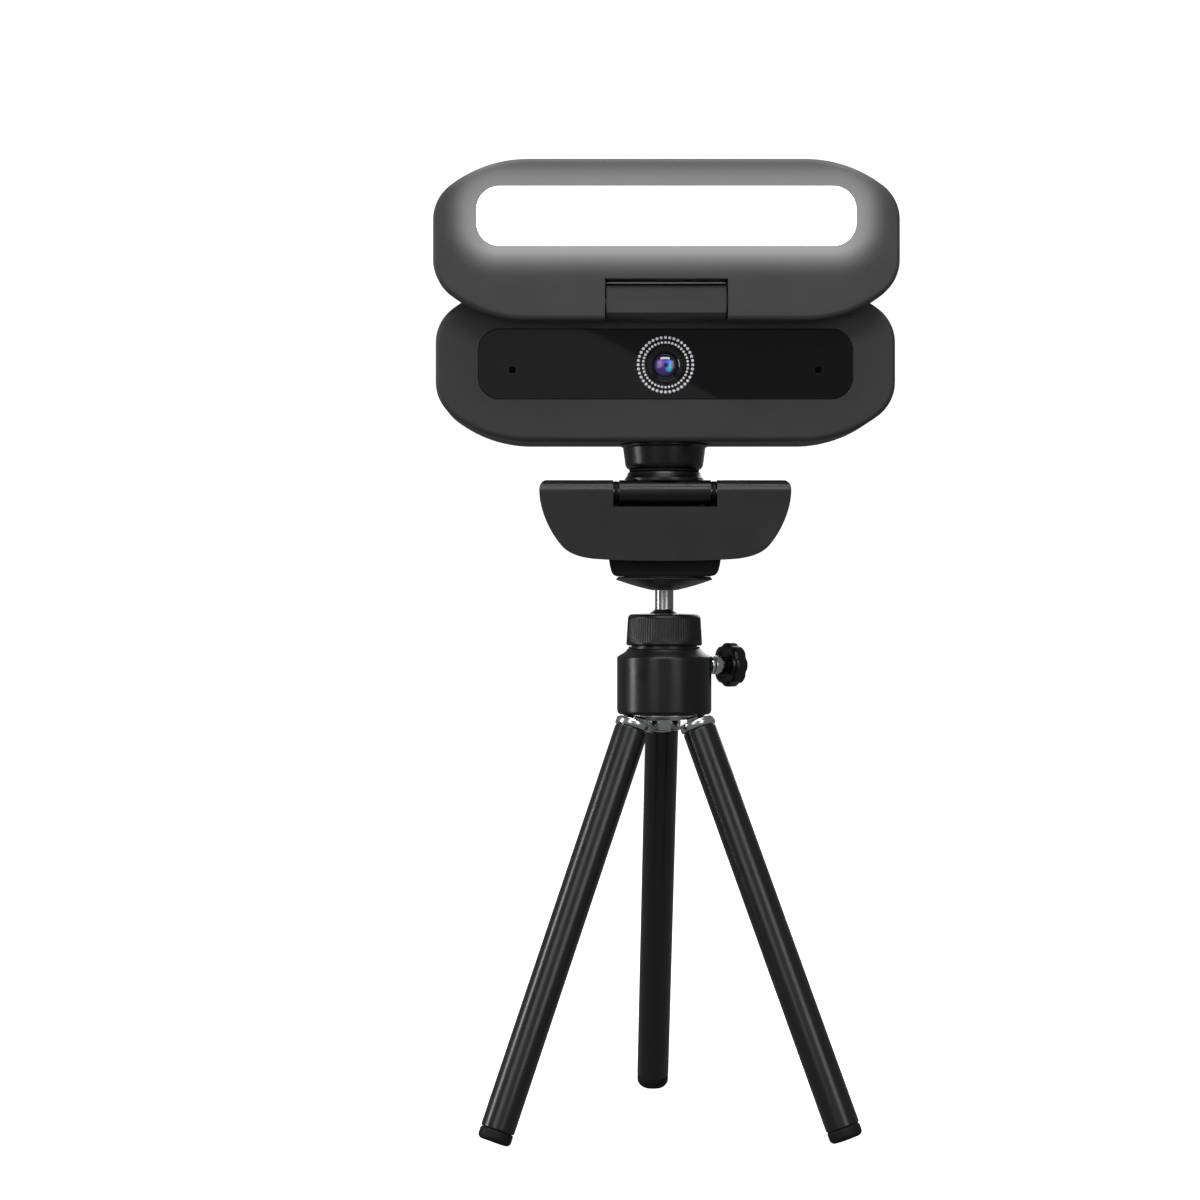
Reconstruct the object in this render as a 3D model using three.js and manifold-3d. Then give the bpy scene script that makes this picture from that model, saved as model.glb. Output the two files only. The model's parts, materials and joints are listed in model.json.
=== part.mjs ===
// Folding-light webcam on a ball-head mini tripod. Millimetres, +Z up, the lens looks along -Y.
// The heights below are above the floor and the tripod's axis is X = Y = 0; the last lines move the
// whole object so that the middle of its box stands on the origin.
import * as THREE from 'three';
import { mergeVertices } from 'three/addons/utils/BufferGeometryUtils.js';
import Module from 'manifold-3d';

const wasm = await Module();
wasm.setup();

// ---------------------------------------------------------------- driving dimensions

const GAP = 0.3; // between pieces that touch or turn in each other
const FIT = 0.15; // radial play of pins, screws and spigots in their bores

// Outline that the camera body and the light lid share: flat, wide arc, tight arc, flat.
const BODY_HALF_WIDTH = 56.4;
const BODY_HALF_HEIGHT = 19.5;
const WIDE_RADIUS = 31;
const TIGHT_RADIUS = 10.4;
const WIDE_SWEEP = 0.656; // radians of the wide arc

// Camera body
const BODY_CENTRE_Z = 189.35;
const BODY_FRONT_Y = -12.7;
const BODY_REAR_Y = 12.7;
const BODY_SPLIT_Y = -0.9;
const BODY_WALL = 2.2;
const FRONT_WALL = 2.6;
const FRONT_FILLET = 1.3;
const REAR_FILLET = 3;
const PANEL_HALF_WIDTH = 45.85;
const PANEL_HALF_HEIGHT = 8.55;
const PANEL_RADIUS = 5.3;
const PANEL_THICKNESS = 1;
const PANEL_DROP = 0.55; // from the body's middle down to the panel's
const LENS_DROP = 0.75; // from the body's middle down to the lens axis
const MIC_OFFSET_X = 37.5;
const MIC_DROP = 2.05;
const MIC_HOLE_RADIUS = 0.9;
const MIC_RADIUS = 2.2;
const MIC_LENGTH = 1.6;
const LENS_GLASS_RADIUS = 3;
const LENS_RING_RADIUS = 4.7;
const BARREL_RADIUS = 3.6;
const HOLDER_WIDTH = 14;
const SENSOR_WIDTH = 8;
const SENSOR_THICKNESS = 0.9;
const BOARD_THICKNESS = 1.6;
const BOARD_HALF_WIDTH = 42;
const BOARD_HALF_HEIGHT = 13;
const BOARD_FRONT_Y = -4.5;
const BOARD_SCREW_X = 34;
const BOARD_SCREW_DROP = 7.4;
const BOARD_SCREW_RADIUS = 0.95;
const BOARD_SCREW_HEAD_RADIUS = 1.9;
const BOARD_SCREW_HEAD_HEIGHT = 1.2;
const BOARD_SCREW_LENGTH = 5;
const BOARD_BOSS_RADIUS = 2.2;
const USB_BOARD_FRONT_Y = 4;
const USB_BOARD_THICKNESS = 1.2;
const USB_BOARD_HALF_WIDTH = 12;
const USB_BOARD_HALF_HEIGHT = 6;
const USB_HALF_WIDTH = 4.47;
const USB_HALF_HEIGHT = 1.63;
const USB_WALL = 0.35;

// Light lid and its hinge
const HINGE_Y = -18;
const HINGE_Z = 203.6;
const LID_CENTRE_Z = 218.05;
const LID_THICKNESS = 9;
const LID_FRONT_FILLET = 1.2;
const LID_REAR_FILLET = 4;
const WINDOW_CENTRE_Z = 223.9;
const WINDOW_HALF_WIDTH = 45.95;
const WINDOW_HALF_HEIGHT = 7.2;
const WINDOW_RADIUS = 5.6;
const WINDOW_BEVEL = 2.1;
const WINDOW_DEPTH = 1.8;
const DIFFUSER_LAP = 3;
const DIFFUSER_THICKNESS = 1.2;
const LED_COUNT = 10;
const LED_PITCH = 9;
const LED_SIZE = 2.8;
const LED_HEIGHT = 0.8;
const LED_BOARD_THICKNESS = 1;
const NOTCH_HALF_WIDTH = 14.85;
const HINGE_BLOCK_RADIUS = 4.65;
const HINGE_FACE_OFFSET = 3.4;
const HINGE_FACE_TOP = 2.7;
const HINGE_BLOCK_TOP = 3.4;
const HINGE_FIN_THICKNESS = 0.4;
const HINGE_FIN_REACH = 1.3;
const LID_PIN_RADIUS = 1;
const LID_PIN_HALF_LENGTH = 20;
const TONGUE_HALF_WIDTH = 10;
const TONGUE_HALF_HEIGHT = 2.5;
const TONGUE_LENGTH = 4;

// Neck: cup under the camera, washer, collar of the tilt base
const NECK_FLANGE_RADIUS = 11;
const NECK_TOP_RADIUS = 10.25;
const NECK_LOW_RADIUS = 9.6;
const NECK_LOW_Z = 163.6;
const NECK_STUD_RADIUS = 5;
const NECK_STUD_TOP = 175.5;
const NECK_NUT_RADIUS = 7.5;
const NECK_NUT_HEIGHT = 2.7;
const WASHER_RADIUS = 8.75;
const WASHER_THICKNESS = 0.35;
const COLLAR_TOP_RADIUS = 9.1;
const COLLAR_LOW_RADIUS = 9.8;
const COLLAR_LOW_Z = 161.2;
const SWIVEL_SCREW_RADIUS = 1.45;
const SWIVEL_HEAD_RADIUS = 3.1;

// Clip
const CLIP_Y = -7.5;
const CLIP_Z = 157.6;
const ROLL_RADIUS = 3;
const BARREL_HALF_WIDTH = 11.3;
const KNUCKLE_THICKNESS = 0.9;
const ARM_HALF_WIDTH = 9;
const ARM_REAR_Y = 6.5;
const SADDLE_DROP = 2.2; // below the hinge axis
const CHEEK_INNER_X = 10.2;
const CLIP_NOTCH_HALF_WIDTH = 12.8;
const CLIP_NOTCH_DEPTH = 3.7; // below the hinge axis
const CLIP_PIN_RADIUS = 1;
const CLIP_PIN_HALF_LENGTH = 19;
const PLATE_THICKNESS = 2.9;
const PLATE_HALF_WIDTH = 31;
const PLATE_DROP = 17; // from the hinge axis to the bottom edge
const LEG_PLATE_THICKNESS = 4.2;
const LEG_HALF_WIDTH = 14;
const FOOT_LOW_HALF_WIDTH = 11.75;
const FOOT_TOP_Z = 142.5;
const BOSS_RADIUS = 7.4;
const BOSS_TOP_Z = 146;
const RIB_X = 11;
const RIB_HALF_THICKNESS = 1;
const RIB_REACH = 9;
const PAD_HALF_WIDTH = 11;
const PAD_HALF_HEIGHT = 4.5;
const PAD_DROP = 10; // from the hinge axis to the pad's middle
const PAD_CORNER_RADIUS = 1.5;
const PAD_DEPTH = 1;
const INSERT_RADIUS = 4.6;
const INSERT_LENGTH = 7;
const THREAD_RADIUS = 3.1;

// Ball head
const DISC_RADIUS = 12;
const DISC_TOP_Z = 136.4;
const DISC_RIM_HEIGHT = 0.6;
const DISC_LOW_Z = 133.4;
const RUBBER_THICKNESS = 0.35;
const STEM_RADIUS = 2.3;
const STUD_TOP_Z = 142.8;
const BALL_RADIUS = 6;
const BALL_Z = 122.9;
const HEAD_BORE_PLAY = 0.65; // the ball's seat is as thin as this beside the ball
const HEAD_NECK_WALL = 1.55;
const CAP_DOME_HEIGHT = 4.8; // from the ball's centre up to the cap's top
const CAP_SKIRT_HEIGHT = 3.3; // and down to its lower edge
const CAP_TOP_WALL = 0.9;
const CAP_LOW_WALL = 1.3;
const CAP_ROOF = 2.2;
const CAP_OPENING_RADIUS = 5;
const GROOVE_WALL = 0.7; // beyond the neck
const SHOULDER_WALL = 1.2;
const HEAD_RADIUS = 11.8;
const HEAD_TOP_Z = 117;
const HEAD_LOW_Z = 102.5;
const SEAT_LOW_Z = 110.6;
const LOCK_AZIMUTH = THREE.MathUtils.degToRad(33);
const LOCK_Z = 114.5;
const LOCK_THREAD_RADIUS = 1.5;
const LOCK_SLEEVE_RADIUS = 2.35;
const LOCK_BOSS_RADIUS = 3;
const LOCK_BOSS_REACH = 12;
const LOCK_THREAD_SHOWN = 1.3; // between the boss and the sleeve
const KNOB_RECESS = 0.6;
const KNOB_REACH = 18.6;
const KNOB_THICKNESS = 3.6;
const KNOB_RADIUS = 5.6;
const KNOB_LOBES = 8;
const KNOB_LOBE_DEPTH = 0.4;

// Tripod legs
const SPLAY = THREE.MathUtils.degToRad(21.96);
const FIRST_LEG_AZIMUTH = THREE.MathUtils.degToRad(92.2);
const LEG_PIVOT_Z = 100.7;
const LEG_SPACING = 4.53; // from the tripod's axis to a ferrule's edge
const LEG_RADIUS = 4.2;
const LEG_WALL = 0.7;
const FERRULE_LIP = 0.25; // beyond the tube
const FERRULE_START = -0.3; // along the leg from its pivot
const FERRULE_LENGTH = 2.1;
const FERRULE_SKIRT = 3; // spigot inside the tube
const FERRULE_WALL = 1.4;
const SHANK_DEPTH = 6; // how far the leg head reaches into the tube
const LEG_TONGUE_RADIUS = 1.5;
const LEG_TONGUE_HALF_THICKNESS = 1.1;
const LEG_PIN_RADIUS = 0.6;
const LUG_THICKNESS = 0.9;
const LUG_RADIUS = 1.7;
const FOOT_LENGTH = 3;
const FOOT_PLUG_LENGTH = 5;
const SPIDER_RIM = 1.22; // beyond the legs' pivots
const SPIDER_BEVEL = 1.8;
const SPIDER_THICKNESS = 1.1;
const HUB_RADIUS = 4.1;
const HUB_LOW_Z = 98.4;
const SPIDER_SCREW_RADIUS = 1.35;
const SPIDER_SCREW_HEAD_RADIUS = 2.2;
const SPIDER_SCREW_HEAD_HEIGHT = 1;

// ---------------------------------------------------------------- materials

function finish(colour, roughness, metalness = 0) {
  return { color: colour, roughness, metalness };
}

const BODY_PLASTIC = finish(0x3e3e3f, 0.5);
const CLIP_PLASTIC = finish(0x2e2e2f, 0.45);
const GLOSS_BLACK = finish(0x0d0d0f, 0.08);
const BLACK_PLASTIC = finish(0x1c1c1d, 0.4);
const WHITE_DIFFUSER = finish(0xf6f6f2, 0.4);
const LENS_COATING = finish(0x3a2a86, 0.05);
const CHROME = finish(0xd0d2d4, 0.15, 1);
const STEEL = finish(0x8f9193, 0.3, 1);
const BRASS = finish(0xb08d4a, 0.35, 1);
const LEG_PAINT = finish(0x161617, 0.3, 0.4);
const RUBBER = finish(0x151515, 0.8);
const BOARD_GREEN = finish(0x14502c, 0.5);
const NYLON = finish(0xd8d6cf, 0.55);

// ---------------------------------------------------------------- solids

// A closed geometry as a solid, turned face out if its profile ran the other way.
function solid(geometry) {
  const bare = geometry.index ? geometry.toNonIndexed() : geometry.clone();
  bare.deleteAttribute('normal');
  bare.deleteAttribute('uv');
  const merged = mergeVertices(bare, 1e-4);
  const position = merged.attributes.position;
  const index = merged.index.array;
  const corners = [new THREE.Vector3(), new THREE.Vector3(), new THREE.Vector3()];
  const kept = [];
  let volume = 0;
  for (let i = 0; i < index.length; i += 3) {
    const [a, b, c] = index.slice(i, i + 3);
    if (a === b || b === c || c === a) continue;
    [a, b, c].forEach((vertex, k) => corners[k].fromBufferAttribute(position, vertex));
    volume += corners[0].dot(corners[1].clone().cross(corners[2]));
    kept.push(a, b, c);
  }
  if (volume < 0) kept.reverse();
  const mesh = new wasm.Mesh({
    numProp: 3,
    vertProperties: new Float32Array(position.array),
    triVerts: new Uint32Array(kept),
  });
  return new wasm.Manifold(mesh);
}

function geometryOf(body) {
  const mesh = body.getMesh();
  const geometry = new THREE.BufferGeometry();
  geometry.setAttribute('position', new THREE.BufferAttribute(mesh.vertProperties, 3));
  geometry.setIndex(new THREE.BufferAttribute(mesh.triVerts, 1));
  geometry.computeVertexNormals();
  return geometry;
}

function join(first, ...others) {
  return others.reduce((sum, other) => sum.add(other), first);
}

function cut(first, ...others) {
  return others.reduce((rest, other) => rest.subtract(other), first);
}

// A box between two corners.
function box(x0, x1, y0, y1, z0, z1) {
  const geometry = new THREE.BoxGeometry(x1 - x0, y1 - y0, z1 - z0);
  return solid(geometry.translate((x0 + x1) / 2, (y0 + y1) / 2, (z0 + z1) / 2));
}

// A round bar along X, centred on x = 0 unless moved.
function barX(radius, x0, x1, y, z, segments = 14) {
  const geometry = new THREE.CylinderGeometry(radius, radius, x1 - x0, segments);
  return solid(geometry.rotateZ(Math.PI / 2).translate((x0 + x1) / 2, y, z));
}

function barY(radius, y0, y1, x, z, segments = 14) {
  const geometry = new THREE.CylinderGeometry(radius, radius, y1 - y0, segments);
  return solid(geometry.translate(x, (y0 + y1) / 2, z));
}

function barZ(radius, z0, z1, segments = 16) {
  const geometry = new THREE.CylinderGeometry(radius, radius, z1 - z0, segments);
  return solid(geometry.rotateX(Math.PI / 2).translate(0, 0, (z0 + z1) / 2));
}

function ball(radius, z) {
  return solid(new THREE.SphereGeometry(radius, 20, 10).translate(0, 0, z));
}

// A profile of [radius, height] points turned about the Z axis; it starts and ends on the axis.
function turned(profile, segments = 20) {
  const points = profile.map(([radius, height]) => new THREE.Vector2(radius, height));
  return solid(new THREE.LatheGeometry(points, segments).rotateX(Math.PI / 2));
}

// The points of an arc in a [radius, height] profile.
function arc(centreRadius, centreHeight, radius, from, to, steps) {
  return Array.from({ length: steps + 1 }, (_, i) => {
    const angle = from + ((to - from) * i) / steps;
    return [centreRadius + radius * Math.cos(angle), centreHeight + radius * Math.sin(angle)];
  });
}

// An XZ shape pushed along Y from yFront to yBack, with an equal bevel inside both its ends.
function slab(shape, yFront, yBack, bevel = 0, curveSegments = 4) {
  const geometry = new THREE.ExtrudeGeometry(shape, {
    depth: yBack - yFront - 2 * bevel,
    bevelEnabled: bevel > 0,
    bevelThickness: bevel,
    bevelSize: bevel,
    bevelOffset: -bevel,
    bevelSegments: bevel > 2 ? 3 : 2,
    curveSegments,
  });
  return solid(geometry.translate(0, 0, bevel).rotateX(Math.PI / 2).translate(0, yBack, 0));
}

// A YZ shape pushed along X.
function beam(shape, x0, x1, curveSegments = 6) {
  const geometry = new THREE.ExtrudeGeometry(shape, {
    depth: x1 - x0,
    bevelEnabled: false,
    curveSegments,
  });
  return solid(geometry.rotateX(Math.PI / 2).rotateZ(Math.PI / 2).translate(x0, 0, 0));
}

// The outline of the camera body and the lid, moved inwards by inset.
function bodyOutline(centreZ, inset = 0) {
  const wideX = BODY_HALF_WIDTH - TIGHT_RADIUS - (WIDE_RADIUS - TIGHT_RADIUS) * Math.sin(WIDE_SWEEP);
  const wideZ = BODY_HALF_HEIGHT - WIDE_RADIUS;
  const tightX = BODY_HALF_WIDTH - TIGHT_RADIUS;
  const tightZ = wideZ + (WIDE_RADIUS - TIGHT_RADIUS) * Math.cos(WIDE_SWEEP);
  const turn = Math.PI / 2 - WIDE_SWEEP;
  const shape = new THREE.Shape();
  shape.absarc(tightX, centreZ + tightZ, TIGHT_RADIUS - inset, 0, turn, false);
  shape.absarc(wideX, centreZ + wideZ, WIDE_RADIUS - inset, turn, Math.PI / 2, false);
  shape.absarc(-wideX, centreZ + wideZ, WIDE_RADIUS - inset, Math.PI / 2, Math.PI - turn, false);
  shape.absarc(-tightX, centreZ + tightZ, TIGHT_RADIUS - inset, Math.PI - turn, Math.PI, false);
  shape.absarc(-tightX, centreZ - tightZ, TIGHT_RADIUS - inset, Math.PI, Math.PI + turn, false);
  shape.absarc(-wideX, centreZ - wideZ, WIDE_RADIUS - inset, Math.PI + turn, 1.5 * Math.PI, false);
  shape.absarc(wideX, centreZ - wideZ, WIDE_RADIUS - inset, 1.5 * Math.PI, 2 * Math.PI - turn, false);
  shape.absarc(tightX, centreZ - tightZ, TIGHT_RADIUS - inset, -turn, 0, false);
  shape.closePath();
  return shape;
}

function roundedRectangle(halfWidth, halfHeight, radius, centreX, centreZ) {
  const x = halfWidth - radius;
  const z = halfHeight - radius;
  const shape = new THREE.Shape();
  shape.absarc(centreX + x, centreZ + z, radius, 0, Math.PI / 2, false);
  shape.absarc(centreX - x, centreZ + z, radius, Math.PI / 2, Math.PI, false);
  shape.absarc(centreX - x, centreZ - z, radius, Math.PI, 1.5 * Math.PI, false);
  shape.absarc(centreX + x, centreZ - z, radius, 1.5 * Math.PI, 2 * Math.PI, false);
  shape.closePath();
  return shape;
}

// ---------------------------------------------------------------- the object's groups

const webcam = new THREE.Group();

function piece(name, body, look, parent = webcam) {
  const mesh = new THREE.Mesh(geometryOf(body), new THREE.MeshStandardMaterial(look));
  mesh.name = name;
  parent.add(mesh);
  return mesh;
}

// ---------------------------------------------------------------- camera body

const BODY_LOW_Z = BODY_CENTRE_Z - BODY_HALF_HEIGHT;
const CAVITY_FRONT_Y = BODY_FRONT_Y + FRONT_WALL;
const CAVITY_REAR_Y = BODY_REAR_Y - BODY_WALL;
const PANEL_Z = BODY_CENTRE_Z - PANEL_DROP;
const LENS_Z = BODY_CENTRE_Z - LENS_DROP;
const MIC_Z = BODY_CENTRE_Z - MIC_DROP;
const BOARD_SCREW_Z = BODY_CENTRE_Z - BOARD_SCREW_DROP;
const PANEL_BACK_Y = BODY_FRONT_Y + PANEL_THICKNESS;
const BOARD_REAR_Y = BOARD_FRONT_Y + BOARD_THICKNESS;
const LID_FRONT_Y = HINGE_Y - LID_THICKNESS / 2;
const LID_REAR_Y = HINGE_Y + LID_THICKNESS / 2;
const LID_LOW_Z = LID_CENTRE_Z - BODY_HALF_HEIGHT;

// The lid's lower front edge swings back past the body's face, which is hollowed to let it by.
const EDGE_SWING = LID_FRONT_FILLET + Math.hypot(
  LID_THICKNESS / 2 - LID_FRONT_FILLET,
  HINGE_Z - LID_LOW_Z - LID_FRONT_FILLET,
);
const HOLLOW_RADIUS = EDGE_SWING + GAP;

function bodyBlank() {
  const whole = slab(bodyOutline(BODY_CENTRE_Z), BODY_FRONT_Y, BODY_REAR_Y, REAR_FILLET);
  const length = BODY_HALF_WIDTH + 1;
  const height = BODY_HALF_HEIGHT + 1;
  return whole.intersect(
    box(-length, length, BODY_SPLIT_Y + GAP / 2, BODY_REAR_Y + 1, BODY_CENTRE_Z - height,
      BODY_CENTRE_Z + height),
  );
}

function frontBlank() {
  const whole = slab(bodyOutline(BODY_CENTRE_Z), BODY_FRONT_Y, BODY_REAR_Y, FRONT_FILLET);
  const length = BODY_HALF_WIDTH + 1;
  const height = BODY_HALF_HEIGHT + 1;
  return whole.intersect(
    box(-length, length, BODY_FRONT_Y - 1, BODY_SPLIT_Y - GAP / 2, BODY_CENTRE_Z - height,
      BODY_CENTRE_Z + height),
  );
}

const neckHole = () => barZ(NECK_STUD_RADIUS + FIT, BODY_LOW_Z - 1, BODY_LOW_Z + BODY_WALL + 1);

function cameraFrontShell() {
  const cavity = slab(
    bodyOutline(BODY_CENTRE_Z, BODY_WALL), CAVITY_FRONT_Y, BODY_SPLIT_Y + 1,
  );
  const recess = slab(
    roundedRectangle(PANEL_HALF_WIDTH + FIT, PANEL_HALF_HEIGHT + FIT, PANEL_RADIUS + FIT, 0, PANEL_Z),
    BODY_FRONT_Y - 1, PANEL_BACK_Y + FIT,
  );
  const hollowHalf = BODY_HALF_WIDTH - GAP;
  const hollows = [-1, 1].map((side) => {
    const inner = side * (NOTCH_HALF_WIDTH - GAP);
    const outer = side * hollowHalf;
    return barX(HOLLOW_RADIUS, Math.min(inner, outer), Math.max(inner, outer), HINGE_Y, HINGE_Z);
  });
  const slot = box(
    -TONGUE_HALF_WIDTH - FIT, TONGUE_HALF_WIDTH + FIT, BODY_FRONT_Y - 1, CAVITY_FRONT_Y + 1,
    HINGE_Z - TONGUE_HALF_HEIGHT - FIT, HINGE_Z + TONGUE_HALF_HEIGHT + FIT,
  );
  const shell = cut(
    frontBlank(), cavity, recess, ...hollows, slot, neckHole(),
    barY(LENS_RING_RADIUS + GAP, BODY_FRONT_Y, CAVITY_FRONT_Y + 1, 0, LENS_Z),
    barY(MIC_HOLE_RADIUS, BODY_FRONT_Y, CAVITY_FRONT_Y + 1, MIC_OFFSET_X, MIC_Z, 10),
    barY(MIC_HOLE_RADIUS, BODY_FRONT_Y, CAVITY_FRONT_Y + 1, -MIC_OFFSET_X, MIC_Z, 10),
  );
  const bosses = [-1, 1].map((side) => cut(
    barY(BOARD_BOSS_RADIUS, CAVITY_FRONT_Y - 0.5, BOARD_FRONT_Y - FIT, side * BOARD_SCREW_X,
      BOARD_SCREW_Z, 12),
    barY(BOARD_SCREW_RADIUS + FIT, CAVITY_FRONT_Y, BOARD_FRONT_Y, side * BOARD_SCREW_X,
      BOARD_SCREW_Z, 10),
  ));
  return join(shell, ...bosses);
}

function cameraRearShell() {
  const cavity = slab(bodyOutline(BODY_CENTRE_Z, BODY_WALL), BODY_SPLIT_Y - 1, CAVITY_REAR_Y);
  const inlet = slab(
    roundedRectangle(USB_HALF_WIDTH + GAP, USB_HALF_HEIGHT + GAP, USB_HALF_HEIGHT + GAP / 2, 0,
      BODY_CENTRE_Z),
    CAVITY_REAR_Y - 1, BODY_REAR_Y + 1, 0, 4,
  );
  return cut(bodyBlank(), cavity, inlet, neckHole());
}

function facePanel() {
  const plate = slab(
    roundedRectangle(PANEL_HALF_WIDTH, PANEL_HALF_HEIGHT, PANEL_RADIUS, 0, PANEL_Z),
    BODY_FRONT_Y, PANEL_BACK_Y,
  );
  return cut(
    plate,
    barY(LENS_RING_RADIUS + FIT, BODY_FRONT_Y - 1, PANEL_BACK_Y + 1, 0, LENS_Z),
    barY(MIC_HOLE_RADIUS, BODY_FRONT_Y - 1, PANEL_BACK_Y + 1, MIC_OFFSET_X, MIC_Z, 10),
    barY(MIC_HOLE_RADIUS, BODY_FRONT_Y - 1, PANEL_BACK_Y + 1, -MIC_OFFSET_X, MIC_Z, 10),
  );
}

const LENS_RING_LENGTH = 2.2;
const GLASS_THICKNESS = 1.2;

function lensRing() {
  const ring = barY(LENS_RING_RADIUS, BODY_FRONT_Y, BODY_FRONT_Y + LENS_RING_LENGTH, 0, LENS_Z);
  return cut(
    ring,
    barY(LENS_GLASS_RADIUS + FIT, BODY_FRONT_Y - 1, BODY_FRONT_Y + LENS_RING_LENGTH + 1, 0,
      LENS_Z),
  );
}

const GLASS_FRONT_Y = BODY_FRONT_Y + 0.4;
const BARREL_FRONT_Y = BODY_FRONT_Y + LENS_RING_LENGTH + FIT;
const BARREL_REAR_Y = BOARD_FRONT_Y - SENSOR_THICKNESS - 0.8;
const HOLDER_FRONT_Y = BARREL_REAR_Y - 1.6;

function lensBarrel() {
  return cut(
    barY(BARREL_RADIUS, BARREL_FRONT_Y, BARREL_REAR_Y, 0, LENS_Z),
    barY(BARREL_RADIUS - 1, BARREL_FRONT_Y - 1, BARREL_REAR_Y + 1, 0, LENS_Z),
  );
}

function lensHolder() {
  const half = HOLDER_WIDTH / 2;
  const pocket = SENSOR_WIDTH / 2 + GAP;
  return cut(
    box(-half, half, HOLDER_FRONT_Y, BOARD_FRONT_Y - FIT, LENS_Z - half, LENS_Z + half),
    barY(BARREL_RADIUS + FIT, HOLDER_FRONT_Y - 1, BARREL_REAR_Y + FIT, 0, LENS_Z),
    box(-pocket, pocket, BARREL_REAR_Y, BOARD_FRONT_Y + 1, LENS_Z - pocket, LENS_Z + pocket),
  );
}

function imageSensor() {
  const half = SENSOR_WIDTH / 2;
  const back = BOARD_FRONT_Y - FIT;
  return box(-half, half, back - SENSOR_THICKNESS, back, LENS_Z - half, LENS_Z + half);
}

function mainBoard() {
  const board = slab(
    roundedRectangle(BOARD_HALF_WIDTH, BOARD_HALF_HEIGHT, 4, 0, BODY_CENTRE_Z),
    BOARD_FRONT_Y, BOARD_REAR_Y, 0, 4,
  );
  const holes = [-1, 1].map((side) => barY(
    BOARD_SCREW_RADIUS + FIT, BOARD_FRONT_Y - 1, BOARD_REAR_Y + 1, side * BOARD_SCREW_X,
    BOARD_SCREW_Z, 12,
  ));
  return cut(board, ...holes);
}

function boardScrew(x) {
  const head = BOARD_REAR_Y + FIT;
  return join(
    barY(BOARD_SCREW_HEAD_RADIUS, head, head + BOARD_SCREW_HEAD_HEIGHT, x, BOARD_SCREW_Z, 12),
    barY(BOARD_SCREW_RADIUS, head - BOARD_SCREW_LENGTH, head + 0.5, x, BOARD_SCREW_Z, 10),
  );
}

function usbSocket() {
  const front = USB_BOARD_FRONT_Y + USB_BOARD_THICKNESS + FIT;
  const mouth = BODY_REAR_Y - 0.2;
  const outside = roundedRectangle(USB_HALF_WIDTH, USB_HALF_HEIGHT, USB_HALF_HEIGHT - 0.05, 0,
    BODY_CENTRE_Z);
  const inside = roundedRectangle(USB_HALF_WIDTH - USB_WALL, USB_HALF_HEIGHT - USB_WALL,
    USB_HALF_HEIGHT - USB_WALL - 0.05, 0, BODY_CENTRE_Z);
  const tongue = box(-3.3, 3.3, front + 0.5, mouth - 0.8, BODY_CENTRE_Z - 0.35, BODY_CENTRE_Z + 0.35);
  return join(
    cut(slab(outside, front, mouth, 0, 4), slab(inside, front + 1, mouth + 1, 0, 4)),
    tongue,
  );
}

const NECK_FLANGE_TOP = BODY_LOW_Z - GAP / 2;
const NECK_FLANGE_HEIGHT = 0.6;

// Cup, threaded stud through the body's floor, blind bore for the swivel screw.
function neckCup() {
  const flangeLow = NECK_FLANGE_TOP - NECK_FLANGE_HEIGHT;
  const screwTop = NECK_FLANGE_TOP + 1;
  return turned([
    [0, NECK_STUD_TOP],
    [NECK_STUD_RADIUS, NECK_STUD_TOP],
    [NECK_STUD_RADIUS, NECK_FLANGE_TOP],
    [NECK_FLANGE_RADIUS, NECK_FLANGE_TOP],
    [NECK_FLANGE_RADIUS, flangeLow],
    [NECK_TOP_RADIUS, flangeLow],
    [NECK_LOW_RADIUS, NECK_LOW_Z + 0.5],
    [NECK_LOW_RADIUS - 0.5, NECK_LOW_Z],
    [SWIVEL_SCREW_RADIUS + FIT, NECK_LOW_Z],
    [SWIVEL_SCREW_RADIUS + FIT, screwTop],
    [0, screwTop],
  ]);
}

function neckNut() {
  const low = BODY_LOW_Z + BODY_WALL + FIT;
  return cut(
    barZ(NECK_NUT_RADIUS, low, low + NECK_NUT_HEIGHT),
    barZ(NECK_STUD_RADIUS + FIT, low - 1, low + NECK_NUT_HEIGHT + 1),
  );
}

const WASHER_TOP_Z = NECK_LOW_Z - FIT;
const COLLAR_TOP_Z = WASHER_TOP_Z - WASHER_THICKNESS - FIT / 2;
const SWIVEL_SEAT_Z = CLIP_Z + 3;

function swivelScrew() {
  const top = NECK_FLANGE_TOP + 0.8;
  const seat = SWIVEL_SEAT_Z - FIT;
  return turned([
    [0, top],
    [SWIVEL_SCREW_RADIUS, top],
    [SWIVEL_SCREW_RADIUS, seat],
    [SWIVEL_HEAD_RADIUS, seat],
    [SWIVEL_HEAD_RADIUS, seat - 1.2],
    [0, seat - 1.2],
  ]);
}

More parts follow.
